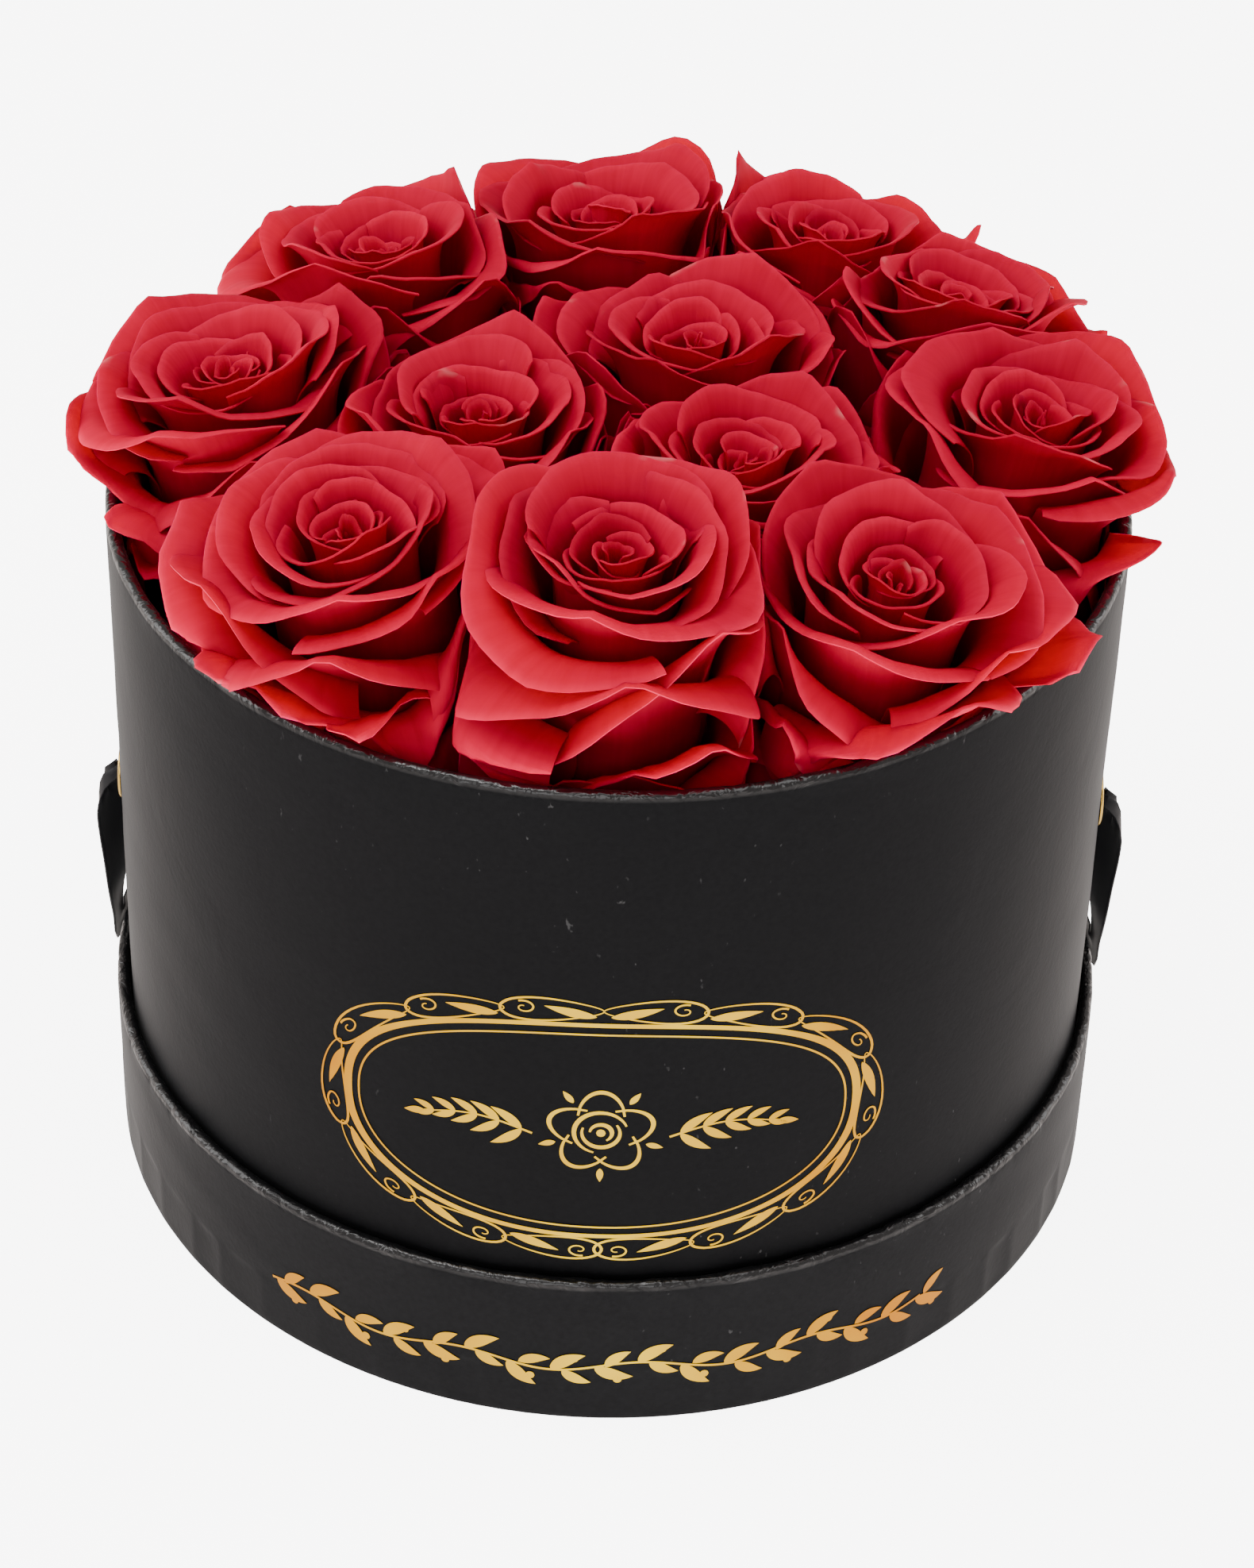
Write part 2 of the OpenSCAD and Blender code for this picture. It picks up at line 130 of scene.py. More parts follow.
POINT_STEP = 2.2 * MM
ribbon_route = arm_points(1) + bow_points() + arm_points(-1)[::-1]
ribbon_line, ribbon_length = resample(ribbon_route, POINT_STEP)


def mesh_piece(name, points, faces, uvs=None):
    """A new mesh object from points in metres, with one UV for each point if given."""
    mesh = bpy.data.meshes.new(name)
    mesh.from_pydata([tuple(p) for p in points], [], faces)
    mesh.update()
    if uvs is not None:
        layer = mesh.uv_layers.new(name="UVMap")
        loops = np.array([loop.vertex_index for loop in mesh.loops])
        layer.data.foreach_set("uv", np.asarray(uvs, np.float32)[loops].ravel())
    piece = bpy.data.objects.new(name, mesh)
    bpy.context.scene.collection.objects.link(piece)
    return piece


# lengths along the ribbon: hidden in the eyelet's bore, then turned to face sideways,
# then the part over which the twist, in radians, wears off
BORE_RUN = 9 * MM
SIDE_RUN = 60 * MM
TWIST_RUN = 50 * MM
TWIST = -0.52
# it fans out from the eyelet about here, this softly, and is pinched again at the bend
FAN_AT, FAN_SOFT = 8 * MM, 1.7 * MM
PINCH_AT, PINCH_RUN = 52 * MM, 9 * MM
ACROSS = 9


def ribbon_mesh(line):
    """A flat strip along the line: gathered at both eyelets, full width below, softly rippled."""
    count = len(line)
    tangents = np.gradient(line, axis=0)
    tangents /= np.linalg.norm(tangents, axis=1)[:, None]
    reach = np.concatenate([[0], np.cumsum(np.linalg.norm(np.diff(line, axis=0), axis=1))])
    points, uvs, faces = [], [], []
    for i, (p, t) in enumerate(zip(line, tangents)):
        out = np.array([p[0], p[1], 0.0])
        near = min(reach[i], reach[-1] - reach[i]) - BORE_RUN
        if near < SIDE_RUN:
            out = np.array([np.sign(p[0]), 0.25 * max(0.0, min(1.0, near / TWIST_RUN)), 0.15])
        out /= np.linalg.norm(out)
        wide = np.cross(out, t)
        wide /= np.linalg.norm(wide)
        face_out = np.cross(t, wide)
        # both arms turn over a little on their way down
        lean = 0.0
        if 0 < near < TWIST_RUN:
            lean = TWIST * min(1.0, near / (6 * MM)) * math.cos(math.pi / 2 * near / TWIST_RUN) ** 1.5
        w = wide * math.cos(lean) + face_out * math.sin(lean)
        f = face_out * math.cos(lean) - wide * math.sin(lean)
        gather = 1 / (1 + math.exp(-(near - FAN_AT) / FAN_SOFT))
        pinch = math.exp(-((near - PINCH_AT) / PINCH_RUN) ** 2)
        half = (0.42 + 0.58 * gather) * (1 - 0.4 * pinch) * RIBBON_W / 2
        for j in range(ACROSS):
            s = 2 * j / (ACROSS - 1) - 1
            fold = (1 - gather) * 1.3 * MM * math.cos(3.0 * math.pi * s)
            ripple = 0.22 * MM * math.sin(near / (9 * MM) + 1.7 * s) * gather
            cup = -0.35 * MM * s * s
            points.append(p + w * (s * half) + f * (fold + ripple + cup))
            uvs.append((reach[i] / RIBBON_W, (s + 1) / 2))
    for i in range(count - 1):
        for j in range(ACROSS - 1):
            a = i * ACROSS + j
            faces.append((a, a + 1, a + ACROSS + 1, a + ACROSS))
    return mesh_piece("ribbon", points, faces, uvs)


def only(piece):
    """Selects one piece and nothing else."""
    bpy.ops.object.select_all(action="DESELECT")
    piece.select_set(True)
    bpy.context.view_layer.objects.active = piece


def apply_modifier(piece, kind, **settings):
    """Adds a modifier with these settings and applies it."""
    only(piece)
    modifier = piece.modifiers.new(kind.title(), kind)
    for key, value in settings.items():
        setattr(modifier, key, value)
    bpy.ops.object.modifier_apply(modifier=modifier.name)


def smooth(piece, angle):
    """Shades a piece smooth, but for edges sharper than this angle."""
    only(piece)
    bpy.ops.object.shade_smooth_by_angle(angle=math.radians(angle))


ribbon = ribbon_mesh(ribbon_line)
apply_modifier(ribbon, "SOLIDIFY", thickness=RIBBON_THICK, offset=0)
apply_modifier(ribbon, "BEVEL", width=0.1 * MM, segments=2, limit_method="ANGLE",
               angle_limit=math.radians(60))
smooth(ribbon, 50)


def paint(hex_colour):
    """An sRGB hex colour as the linear colour that shaders take."""
    parts = [int(hex_colour[i:i + 2], 16) / 255 for i in (1, 3, 5)]
    linear = [c / 12.92 if c <= 0.04045 else ((c + 0.055) / 1.055) ** 2.4 for c in parts]
    return (*linear, 1.0)


def new_material(name):
    """An empty material with its tree, its shader and its output joined."""
    material = bpy.data.materials.new(name)
    material.use_nodes = True
    tree = material.node_tree
    return material, tree, tree.nodes["Principled BSDF"]


def add_node(tree, kind, settings=None, inputs=None, links=None):
    """Adds a shader node of this kind with its settings, socket values and links from other sockets."""
    node = tree.nodes.new("ShaderNode" + kind)
    for key, value in (settings or {}).items():
        setattr(node, key, value)
    for key, value in (inputs or {}).items():
        node.inputs[key].default_value = value
    for key, socket in (links or {}).items():
        tree.links.new(socket, node.inputs[key])
    return node


def two_tone(tree, source, dark, light, low=0.0, high=1.0):
    """A colour ramp from dark to light, led by a socket."""
    ramp = add_node(tree, "ValToRGB", links={"Fac": source})
    for stop, position, colour in zip(ramp.color_ramp.elements, (low, high), (dark, light)):
        stop.position = position
        stop.color = paint(colour)
    return ramp


def fill_shader(tree, shader, links, constants):
    """Joins sockets to the shader's own sockets and sets its constants."""
    for key, socket in links.items():
        tree.links.new(socket, shader.inputs[key])
    for key, value in constants.items():
        shader.inputs[key].default_value = value


# Polyester satin: long shiny threads along the ribbon give a soft streaked gloss.
satin, tree, shader = new_material("black polyester satin")
uv = add_node(tree, "UVMap", {"uv_map": "UVMap"})
threads = add_node(tree, "Mapping", inputs={"Scale": (0.6, 90.0, 1.0)},
                   links={"Vector": uv.outputs[0]})
weave = add_node(tree, "TexNoise", inputs={"Scale": 1.0, "Detail": 3.0},
                 links={"Vector": threads.outputs[0]})
tint = two_tone(tree, weave.outputs[0], "#08080A", "#131315")
gloss = add_node(tree, "MapRange", inputs={"To Min": 0.3, "To Max": 0.48},
                 links={"Value": weave.outputs[0]})
bump = add_node(tree, "Bump", inputs={"Strength": 0.12, "Distance": 0.0001},
                links={"Height": weave.outputs[0]})
fill_shader(tree, shader, {"Base Color": tint.outputs[0], "Roughness": gloss.outputs[0],
                           "Normal": bump.outputs[0]},
            {"Specular IOR Level": 0.15, "Sheen Weight": 0.04, "Sheen Roughness": 0.35})
ribbon.data.materials.append(satin)


def finish_node(node, material):
    """Gives a CAD node its material."""
    nodes[node].data.materials.clear()
    nodes[node].data.materials.append(material)


for side in ("left", "right"):
    finish_node("knot_" + side, satin)
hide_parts("ribbon_arm_left", "ribbon_arm_right", "ribbon_bow")
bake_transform(ribbon)


# ---------- studio ----------
# A pale seamless floor, a broad soft light above with a small key light beside it, and
# large soft lights in front and on each side.
bpy.ops.mesh.primitive_plane_add(size=8.0, location=(0, 0.6, 0))
floor = bpy.context.object
floor.name = "studio_floor"
white_floor, tree, shader = new_material("white studio paper")
grain = add_node(tree, "TexNoise", inputs={"Scale": 60.0, "Detail": 2.0},
                 links={"Vector": add_node(tree, "TexCoord").outputs["Object"]})
pale = two_tone(tree, grain.outputs[0], "#F3F3F3", "#F6F6F6")
fill_shader(tree, shader, {"Base Color": pale.outputs[0]},
            {"Roughness": 0.9, "Specular IOR Level": 0.1, "Emission Color": (1, 1, 1, 1),
             "Emission Strength": 6.5})
floor.data.materials.append(white_floor)
floor.visible_glossy = False


def softbox(name, place, target, size, power):
    """A rectangular soft light at a place, turned to face a target."""
    light = bpy.data.lights.new(name, "AREA")
    light.shape = "RECTANGLE"
    light.size, light.size_y = size
    light.energy = power
    lamp = bpy.data.objects.new(name, light)
    bpy.context.scene.collection.objects.link(lamp)
    lamp.location = place
    lamp.rotation_euler = (Vector(target) - Vector(place)).to_track_quat("-Z", "Y").to_euler()


softbox("top_softbox", (0.0, -0.1, 1.5), (0, 0, 0.1), (1.2, 1.0), 11)
softbox("key_softbox", (-0.45, -0.25, 1.2), (0, 0, 0.15), (0.35, 0.35), 4)
softbox("front_softbox", (-0.25, -1.5, 0.9), (0, 0, 0.15), (1.2, 0.8), 8.5)
softbox("left_softbox", (-1.3, 0.15, 0.7), (0, 0, 0.1), (0.9, 1.3), 16)
softbox("right_softbox", (1.4, 0.3, 0.6), (0, 0, 0.1), (0.7, 1.1), 9)
world = bpy.data.worlds.new("studio_air")
bpy.context.scene.world = world
world.use_nodes = True
tree = world.node_tree
sky = add_node(tree, "TexCoord").outputs["Generated"]
up = add_node(tree, "SeparateXYZ", links={"Vector": sky})
# brighter near the table than overhead
table_glow = add_node(tree, "MapRange",
                      inputs={"From Min": -0.1, "From Max": 0.15, "To Min": 2.0, "To Max": 0.7},
                      links={"Value": up.outputs[2]})
tree.links.new(table_glow.outputs[0], tree.nodes["Background"].inputs[1])
tree.nodes["Background"].inputs[0].default_value = paint("#FFF4EE")


# ---------- black paper ----------
# Soft-touch laminated paper glued over greyboard: near black and matt, with faint
# fibre, a few pale specks of dust, and a rim rubbed shiny and crinkled by turning in.
# the specular level of the matt paper
MATT = 0.037
# a height in metres that no paper reaches, for sheets without a rubbed rim
NO_RIM = 9.0


def black_paper(name, dark, light, roughness, specks, rim=NO_RIM, shine=0.6):
    """A black covering paper with its own darkness and gloss, rubbed shiny above the rim's height."""
    material, tree, shader = new_material(name)
    where = add_node(tree, "TexCoord").outputs["Object"]
    fibre = add_node(tree, "TexNoise", inputs={"Scale": 900.0, "Detail": 4.0, "Roughness": 0.6},
                     links={"Vector": where})
    cloud = add_node(tree, "TexNoise", inputs={"Scale": 14.0, "Detail": 5.0, "Roughness": 0.55},
                     links={"Vector": where})
    both = add_node(tree, "Mix", {"data_type": "FLOAT"}, {0: 0.35},
                    {2: fibre.outputs[0], 3: cloud.outputs[0]})
    tone = two_tone(tree, both.outputs[0], dark, light, 0.3, 0.75)
    dust = add_node(tree, "TexVoronoi", {"feature": "F1"}, {"Scale": 75.0, "Randomness": 1.0},
                    {"Vector": where})
    rare = add_node(tree, "SeparateColor", links={"Color": dust.outputs["Color"]})
    chosen = add_node(tree, "Math", {"operation": "LESS_THAN"}, {1: specks}, {0: rare.outputs[0]})
    small = add_node(tree, "Math", {"operation": "LESS_THAN"}, {1: 0.02},
                     {0: dust.outputs["Distance"]})
    speck = add_node(tree, "Math", {"operation": "MULTIPLY"},
                     links={0: chosen.outputs[0], 1: small.outputs[0]})
    speckled = add_node(tree, "Mix", {"data_type": "RGBA"}, {7: paint("#8C8884")},
                        {0: speck.outputs[0], 6: tone.outputs[0]})
    # a few short pale scuffs, gathered where the box is handled
    stretched = add_node(tree, "Mapping", {},
                         {"Rotation": (0.5, 0.3, 0.2), "Scale": (620.0, 1500.0, 420.0)}, {"Vector": where})
    scratch = add_node(tree, "TexNoise", inputs={"Scale": 1.0, "Detail": 2.0},
                       links={"Vector": stretched.outputs[0]})
    fine = add_node(tree, "MapRange", inputs={"From Min": 0.71, "From Max": 0.76},
                    links={"Value": scratch.outputs[0]})
    handled = add_node(tree, "MapRange", inputs={"From Min": 0.52, "From Max": 0.62, "To Max": 0.13},
                       links={"Value": cloud.outputs[0]})
    scuff = add_node(tree, "Math", {"operation": "MULTIPLY"},
                     links={0: fine.outputs[0], 1: handled.outputs[0]})
    colour = add_node(tree, "Mix", {"data_type": "RGBA"}, {7: paint("#6E6C6C")},
                      {0: scuff.outputs[0], 6: speckled.outputs[2]})
    rough = add_node(tree, "MapRange", inputs={"To Min": roughness - 0.07, "To Max": roughness + 0.07},
                     links={"Value": cloud.outputs[0]})
    dents = add_node(tree, "TexNoise",
                     inputs={"Scale": 34.0, "Detail": 4.0, "Roughness": 0.5, "Distortion": 0.8},
                     links={"Vector": where})
    sag = add_node(tree, "Bump", inputs={"Strength": 0.35, "Distance": 0.0006},
                   links={"Height": dents.outputs[0]})
    bump = add_node(tree, "Bump", inputs={"Strength": 0.2, "Distance": 0.0002},
                    links={"Height": fibre.outputs[0], "Normal": sag.outputs[0]})
    height = add_node(tree, "SeparateXYZ", links={"Vector": where})
    rubbed = add_node(tree, "MapRange",
                      inputs={"From Min": rim - 1.6 * MM, "From Max": rim - 0.6 * MM,
                              "To Min": MATT, "To Max": shine},
                      links={"Value": height.outputs[2]})
    polish = add_node(tree, "MapRange",
                      inputs={"From Min": MATT, "From Max": 0.6, "To Min": 1.0, "To Max": 0.5},
                      links={"Value": rubbed.outputs[0]})
    glossed = add_node(tree, "Math", {"operation": "MULTIPLY"},
                       links={0: rough.outputs[0], 1: polish.outputs[0]})
    # the paper is crinkled where it turns over the rim
    turned = add_node(tree, "MapRange",
                      inputs={"From Min": rim - 2.4 * MM, "From Max": rim - 1.0 * MM, "To Max": 0.8},
                      links={"Value": height.outputs[2]})
    crinkle = add_node(tree, "TexNoise", inputs={"Scale": 210.0, "Detail": 2.0, "Distortion": 1.8},
                       links={"Vector": where})
    folds = add_node(tree, "Bump", inputs={"Distance": 0.0007},
                     links={"Strength": turned.outputs[0], "Height": crinkle.outputs[0],
                            "Normal": bump.outputs[0]})
    fill_shader(tree, shader, {"Base Color": colour.outputs[2], "Specular IOR Level": rubbed.outputs[0],
                               "Roughness": glossed.outputs[0], "Normal": folds.outputs[0]},
                {"IOR": 1.45, "Sheen Weight": 0.02, "Sheen Roughness": 0.3})
    return material


wall_paper = black_paper("soft touch black paper", "#070708", "#0C0C0D", 0.45, 0.012,
                         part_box("wall_wrap")[1].z, 0.6)
lid_paper = black_paper("soft touch black lid paper", "#0A0A0B", "#111112", 0.45, 0.012,
                        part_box("lid_band_wrap")[1].z, 0.55)
lining_paper = black_paper("plain black lining paper", "#08080A", "#0F0F11", 0.7, 0.004)


# ---------- covering paper of the box and of the lid ----------
# One sheet wrapped round each tube: turned in over the rim, where it lies in soft
# lumps with small creases, and folded under the base in glued tabs.
def turned_skin(name, steps, sides):
    """A skin round Z made by extruding a ring through (radius, height) steps, in mm."""
    bpy.ops.object.select_all(action="DESELECT")
    radius, height = steps[0]
    bpy.ops.mesh.primitive_circle_add(vertices=sides, radius=radius * MM, location=(0, 0, height * MM))
    piece = bpy.context.object
    piece.name = name
    only(piece)
    bpy.ops.object.transform_apply(location=True, rotation=True, scale=True)
    bpy.ops.object.mode_set(mode="EDIT")
    bpy.ops.mesh.select_all(action="SELECT")
    for new_radius, new_height in steps[1:]:
        rise = (0, 0, (new_height - height) * MM)
        bpy.ops.mesh.extrude_region_move(TRANSFORM_OT_translate={"value": rise})
        k = new_radius / radius
        bpy.ops.transform.resize(value=(k, k, 1), center_override=(0, 0, new_height * MM))
        radius, height = new_radius, new_height
    bpy.ops.mesh.select_all(action="SELECT")
    bpy.ops.mesh.normals_make_consistent(inside=False)
    bpy.ops.object.mode_set(mode="OBJECT")
    return piece


def arc_steps(radius, height, bend, start, stop, count):
    """Steps round a quarter or half circle of a rolled edge."""
    steps = []
    for i in range(count + 1):
        a = math.radians(start + (stop - start) * i / count)
        steps.append((radius + bend * math.cos(a), height + bend * math.sin(a)))
    return steps


def get_points(piece):
    """The piece's points as an array."""
    points = np.empty(len(piece.data.vertices) * 3, np.float64)
    piece.data.vertices.foreach_get("co", points)
    return points.reshape(-1, 3)


def set_points(piece, points):
    """Moves the piece's points to these places."""
    piece.data.vertices.foreach_set("co", np.asarray(points, np.float32).ravel())
    piece.data.update()


def waves(angle, seed, first, last, fall=1.0):
    """A smooth random line round the circle, between about -1 and 1."""
    dice = random.Random(seed)
    total = np.zeros_like(angle)
    weight = 0.0
    for k in range(first, last + 1):
        size = 1 / k ** fall
        total += size * np.sin(k * angle + dice.uniform(0, 2 * math.pi))
        weight += size * size / 2
    return total / (2.2 * math.sqrt(weight))


def creases(angle, seed, gap, width):
    """Narrow creases at uneven places round the rim, each from 0 to 1."""
    dice = random.Random(seed)
    total = np.zeros_like(angle)
    at = 0.0
    while at < 2 * math.pi:
        deep = dice.uniform(0.35, 1.0)
        away = np.abs((angle - at + math.pi) % (2 * math.pi) - math.pi)
        total += deep * np.exp(-(away / width) ** 2)
        at += gap * dice.uniform(0.5, 1.6)
    return total


def round_points(piece, top, outside, lip):
    """Its points with their angle, radius, height in mm, nearness to the rim and side of the rim."""
    points = get_points(piece)
    angle = np.arctan2(points[:, 1], points[:, 0])
    radius = np.hypot(points[:, 0], points[:, 1])
    height = points[:, 2] / MM
    edge = np.clip((height - (top - 4)) / 3, 0, 1)
    return points, angle, radius, height, edge, radius < (outside - lip) * MM


def finish_wrap(piece, points, radius, lift, push, paper, node, body):
    """Moves the skin up and outwards by these mm, and makes it the paper that covers a CAD node."""
    points[:, 2] += lift * MM
    points[:, :2] *= (1 + push * MM / radius)[:, None]
    set_points(piece, points)
    apply_modifier(piece, "SOLIDIFY", thickness=PAPER, offset=-1)
    smooth(piece, 60)
    piece.data.materials.append(paper)
    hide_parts(node)
    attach(piece, body)


WRAP_SIDES = 720
PAPER = 0.25 * MM
# the roundness of the fold under the base and the depth of the turned-in rims
FOOT = 0.6
WALL_LIP = 1.3
LID_LIP = 1.28
box_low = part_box("wall_wrap")[0].z / MM
box_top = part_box("wall_wrap")[1].z / MM
box_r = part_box("wall_wrap")[1].x / MM
steps = [(box_r - 12.0, box_low + 0.02), (box_r - 5.0, box_low + 0.02), (box_r - 0.9, box_low + 0.05)]
steps += arc_steps(box_r - FOOT, box_low + FOOT, FOOT, -60, 0, 3)
steps += [(box_r, z) for z in np.linspace(box_low + 4, box_top - 6, 24)]
steps += [(box_r, box_top - 4), (box_r, box_top - 2.6)]
steps += arc_steps(box_r - WALL_LIP, box_top - WALL_LIP, WALL_LIP, 0, 180, 12)
steps += [(box_r - 2 * WALL_LIP, box_top - down) for down in (2.6, 4, 7, 11, 15)]
wall_wrap = turned_skin("wall_covering", steps, WRAP_SIDES)
p, angle, radius, z, edge, inner = round_points(wall_wrap, box_top, box_r, WALL_LIP)
lump = waves(angle, 3, 9, 46, 0.5)
tick = creases(angle, 5, 0.16, 0.0045)
lift = edge * np.maximum(-0.12, 0.06 + 0.16 * lump - 0.3 * tick + 0.12 * waves(angle, 8, 2, 5))
push = np.where(inner, -0.3, 1.0) * edge * (0.04 + 0.1 * lump - 0.14 * tick)
# faint dents and long soft creases where hands have held the wall
body = np.clip((z - box_low - 6) / 10, 0, 1) * (1 - edge) * ~inner
soft = 0.10 * waves(angle + z / 60, 21, 3, 9) + 0.05 * waves(angle + z / 35, 22, 10, 22)
push = np.clip(push + body * (soft + 0.02), -0.2, 0.6)
finish_wrap(wall_wrap, p, radius, lift, push, wall_paper, "wall_wrap", "box")

lid_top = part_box("lid_band_wrap")[1].z / MM
lid_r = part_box("lid_band_wrap")[1].x / MM
steps = [(lid_r - 12.0, 0.02), (lid_r - 0.9, 0.04)]
steps += arc_steps(lid_r - FOOT, FOOT, FOOT, -60, 0, 3)
steps += [(lid_r, z) for z in (2, 4, 6, 8, 10, 11.6, 12.4, 13.0, 13.6, 15, 18, 21, 24, 27, 30)]
steps += [(lid_r, lid_top - 4), (lid_r, lid_top - 2.6)]
steps += arc_steps(lid_r - LID_LIP, lid_top - LID_LIP, LID_LIP, 0, 180, 12)
steps += [(lid_r - 2 * LID_LIP + 0.05, lid_top - down) for down in (2.6, 5, 10, 15)]
lid_wrap = turned_skin("lid_covering", steps, WRAP_SIDES)
p, angle, radius, z, edge, inner = round_points(lid_wrap, lid_top, lid_r, LID_LIP)
lump = waves(angle, 31, 14, 60, 0.3)
tick = creases(angle, 35, 0.13, 0.006)
lift = edge * np.maximum(-0.12, 0.14 + 0.26 * lump - 0.5 * tick + 0.15 * waves(angle, 38, 2, 6))
push = np.where(inner, -0.15, 1.0) * edge * (0.06 + 0.18 * lump - 0.25 * tick)
# the tabs folded under the base show through as flat facets below a faint step
tab = np.zeros_like(angle)
dice = random.Random(41)
at = -math.pi
while at < math.pi:
    wide = dice.uniform(0.085, 0.15)
    inside = (angle >= at) & (angle < at + wide)
    share = (angle - at) / wide
    hollow = -4 * share * (1 - share) * dice.uniform(0.12, 0.3)
    tab = np.where(inside, hollow - 0.25 * dice.uniform(0, 0.3) * share, tab)
    at += wide
low = np.clip((13.2 - z) / 1.2, 0, 1) * np.clip(z / 1.5, 0, 1) * ~inner
push += low * (tab + 0.1)
push += np.clip((z - 14) / 3, 0, 1) * (1 - edge) * ~inner * 0.07 * waves(angle + z / 25, 44, 4, 24, 0.5)
push = np.clip(push, -0.2, 0.6)
finish_wrap(lid_wrap, p, radius, lift, push, lid_paper, "lid_band_wrap", "lid")
finish_node("lid_disc_paper", lid_paper)
finish_node("floor_paper", wall_paper)
for node in ("lid_lining", "wall_lining", "floor_lining"):
    finish_node(node, lining_paper)


# ---------- greyboard ----------
# Grey recycled board, pressed and uncoated: speckled fibre with darker flecks.
greyboard, tree, shader = new_material("pressed greyboard")
where = add_node(tree, "TexCoord").outputs["Object"]
fleck = add_node(tree, "TexNoise", inputs={"Scale": 700.0, "Detail": 5.0, "Roughness": 0.7},
                 links={"Vector": where})
tone = two_tone(tree, fleck.outputs[0], "#6E6A63", "#A39E94", 0.35, 0.65)
bump = add_node(tree, "Bump", inputs={"Strength": 0.4, "Distance": 0.0002},
                links={"Height": fleck.outputs[0]})
fill_shader(tree, shader, {"Base Color": tone.outputs[0], "Normal": bump.outputs[0]},
            {"Roughness": 0.9})
for node in ("lid_disc_board", "lid_band_board", "floor_board", "wall_board"):
    finish_node(node, greyboard)


# ---------- eyelets ----------
# Pressed brass eyelets with a rolled flange, lightly lacquered.
eyelet_brass, tree, shader = new_material("lacquered brass")
where = add_node(tree, "TexCoord").outputs["Object"]
tarnish = add_node(tree, "TexNoise", inputs={"Scale": 260.0, "Detail": 3.0}, links={"Vector": where})
tone = two_tone(tree, tarnish.outputs[0], "#C9A24B", "#E3C069")
gloss = add_node(tree, "MapRange", inputs={"To Min": 0.18, "To Max": 0.32},
                 links={"Value": tarnish.outputs[0]})
fill_shader(tree, shader, {"Base Color": tone.outputs[0], "Roughness": gloss.outputs[0]},
            {"Metallic": 1.0})
for node in ("eyelet_left", "eyelet_right", "eyelet_washer_left", "eyelet_washer_right"):
    finish_node(node, eyelet_brass)


# ---------- gold foil ----------
# Hot-stamped foil lying on the paper: an oval frame with a line-drawn rose on the wall and
# a leaf garland on the lid. It is bright metal with a fine grain, and its tint carries a painted
# reflection.
gold_foil, tree, shader = new_material("hot stamped gold foil")
where = add_node(tree, "TexCoord").outputs["Object"]
grain = add_node(tree, "TexNoise", inputs={"Scale": 1400.0, "Detail": 2.0}, links={"Vector": where})
patch = add_node(tree, "TexNoise", inputs={"Scale": 45.0, "Detail": 3.0}, links={"Vector": where})
# painted reflection: the foil is painted amber at the sides and bright yellow in the middle of the front,
# where the curved foil catches the light
across = add_node(tree, "SeparateXYZ", links={"Vector": where})
aside = add_node(tree, "Math", {"operation": "ABSOLUTE"}, links={0: across.outputs[0]})
painted_reflection = add_node(tree, "MapRange", inputs={"From Max": 0.062, "To Min": 0.78, "To Max": 0.0},
                  links={"Value": aside.outputs[0]})
blotch = add_node(tree, "MapRange",
                  inputs={"From Min": 0.3, "From Max": 0.7, "To Min": -0.1, "To Max": 0.3},
                  links={"Value": patch.outputs[0]})
blotch_and_painted_reflection = add_node(tree, "Math", {"operation": "ADD"}, links={0: painted_reflection.outputs[0], 1: blotch.outputs[0]})
tone = two_tone(tree, blotch_and_painted_reflection.outputs[0], "#CE860A", "#FFDA34", 0.1, 0.95)
gloss = add_node(tree, "MapRange", inputs={"To Min": 0.24, "To Max": 0.42},
                 links={"Value": grain.outputs[0]})
bump = add_node(tree, "Bump", inputs={"Strength": 0.1, "Distance": 0.00005},
                links={"Height": grain.outputs[0]})
fill_shader(tree, shader, {"Base Color": tone.outputs[0], "Roughness": gloss.outputs[0],
                           "Normal": bump.outputs[0]},
            {"Metallic": 1.0})

# the foil's thickness, and how far in mm it stays clear of the paper's soft lumps
FOIL_THICK = 0.04 * MM
FOIL_CLEAR = 0.1


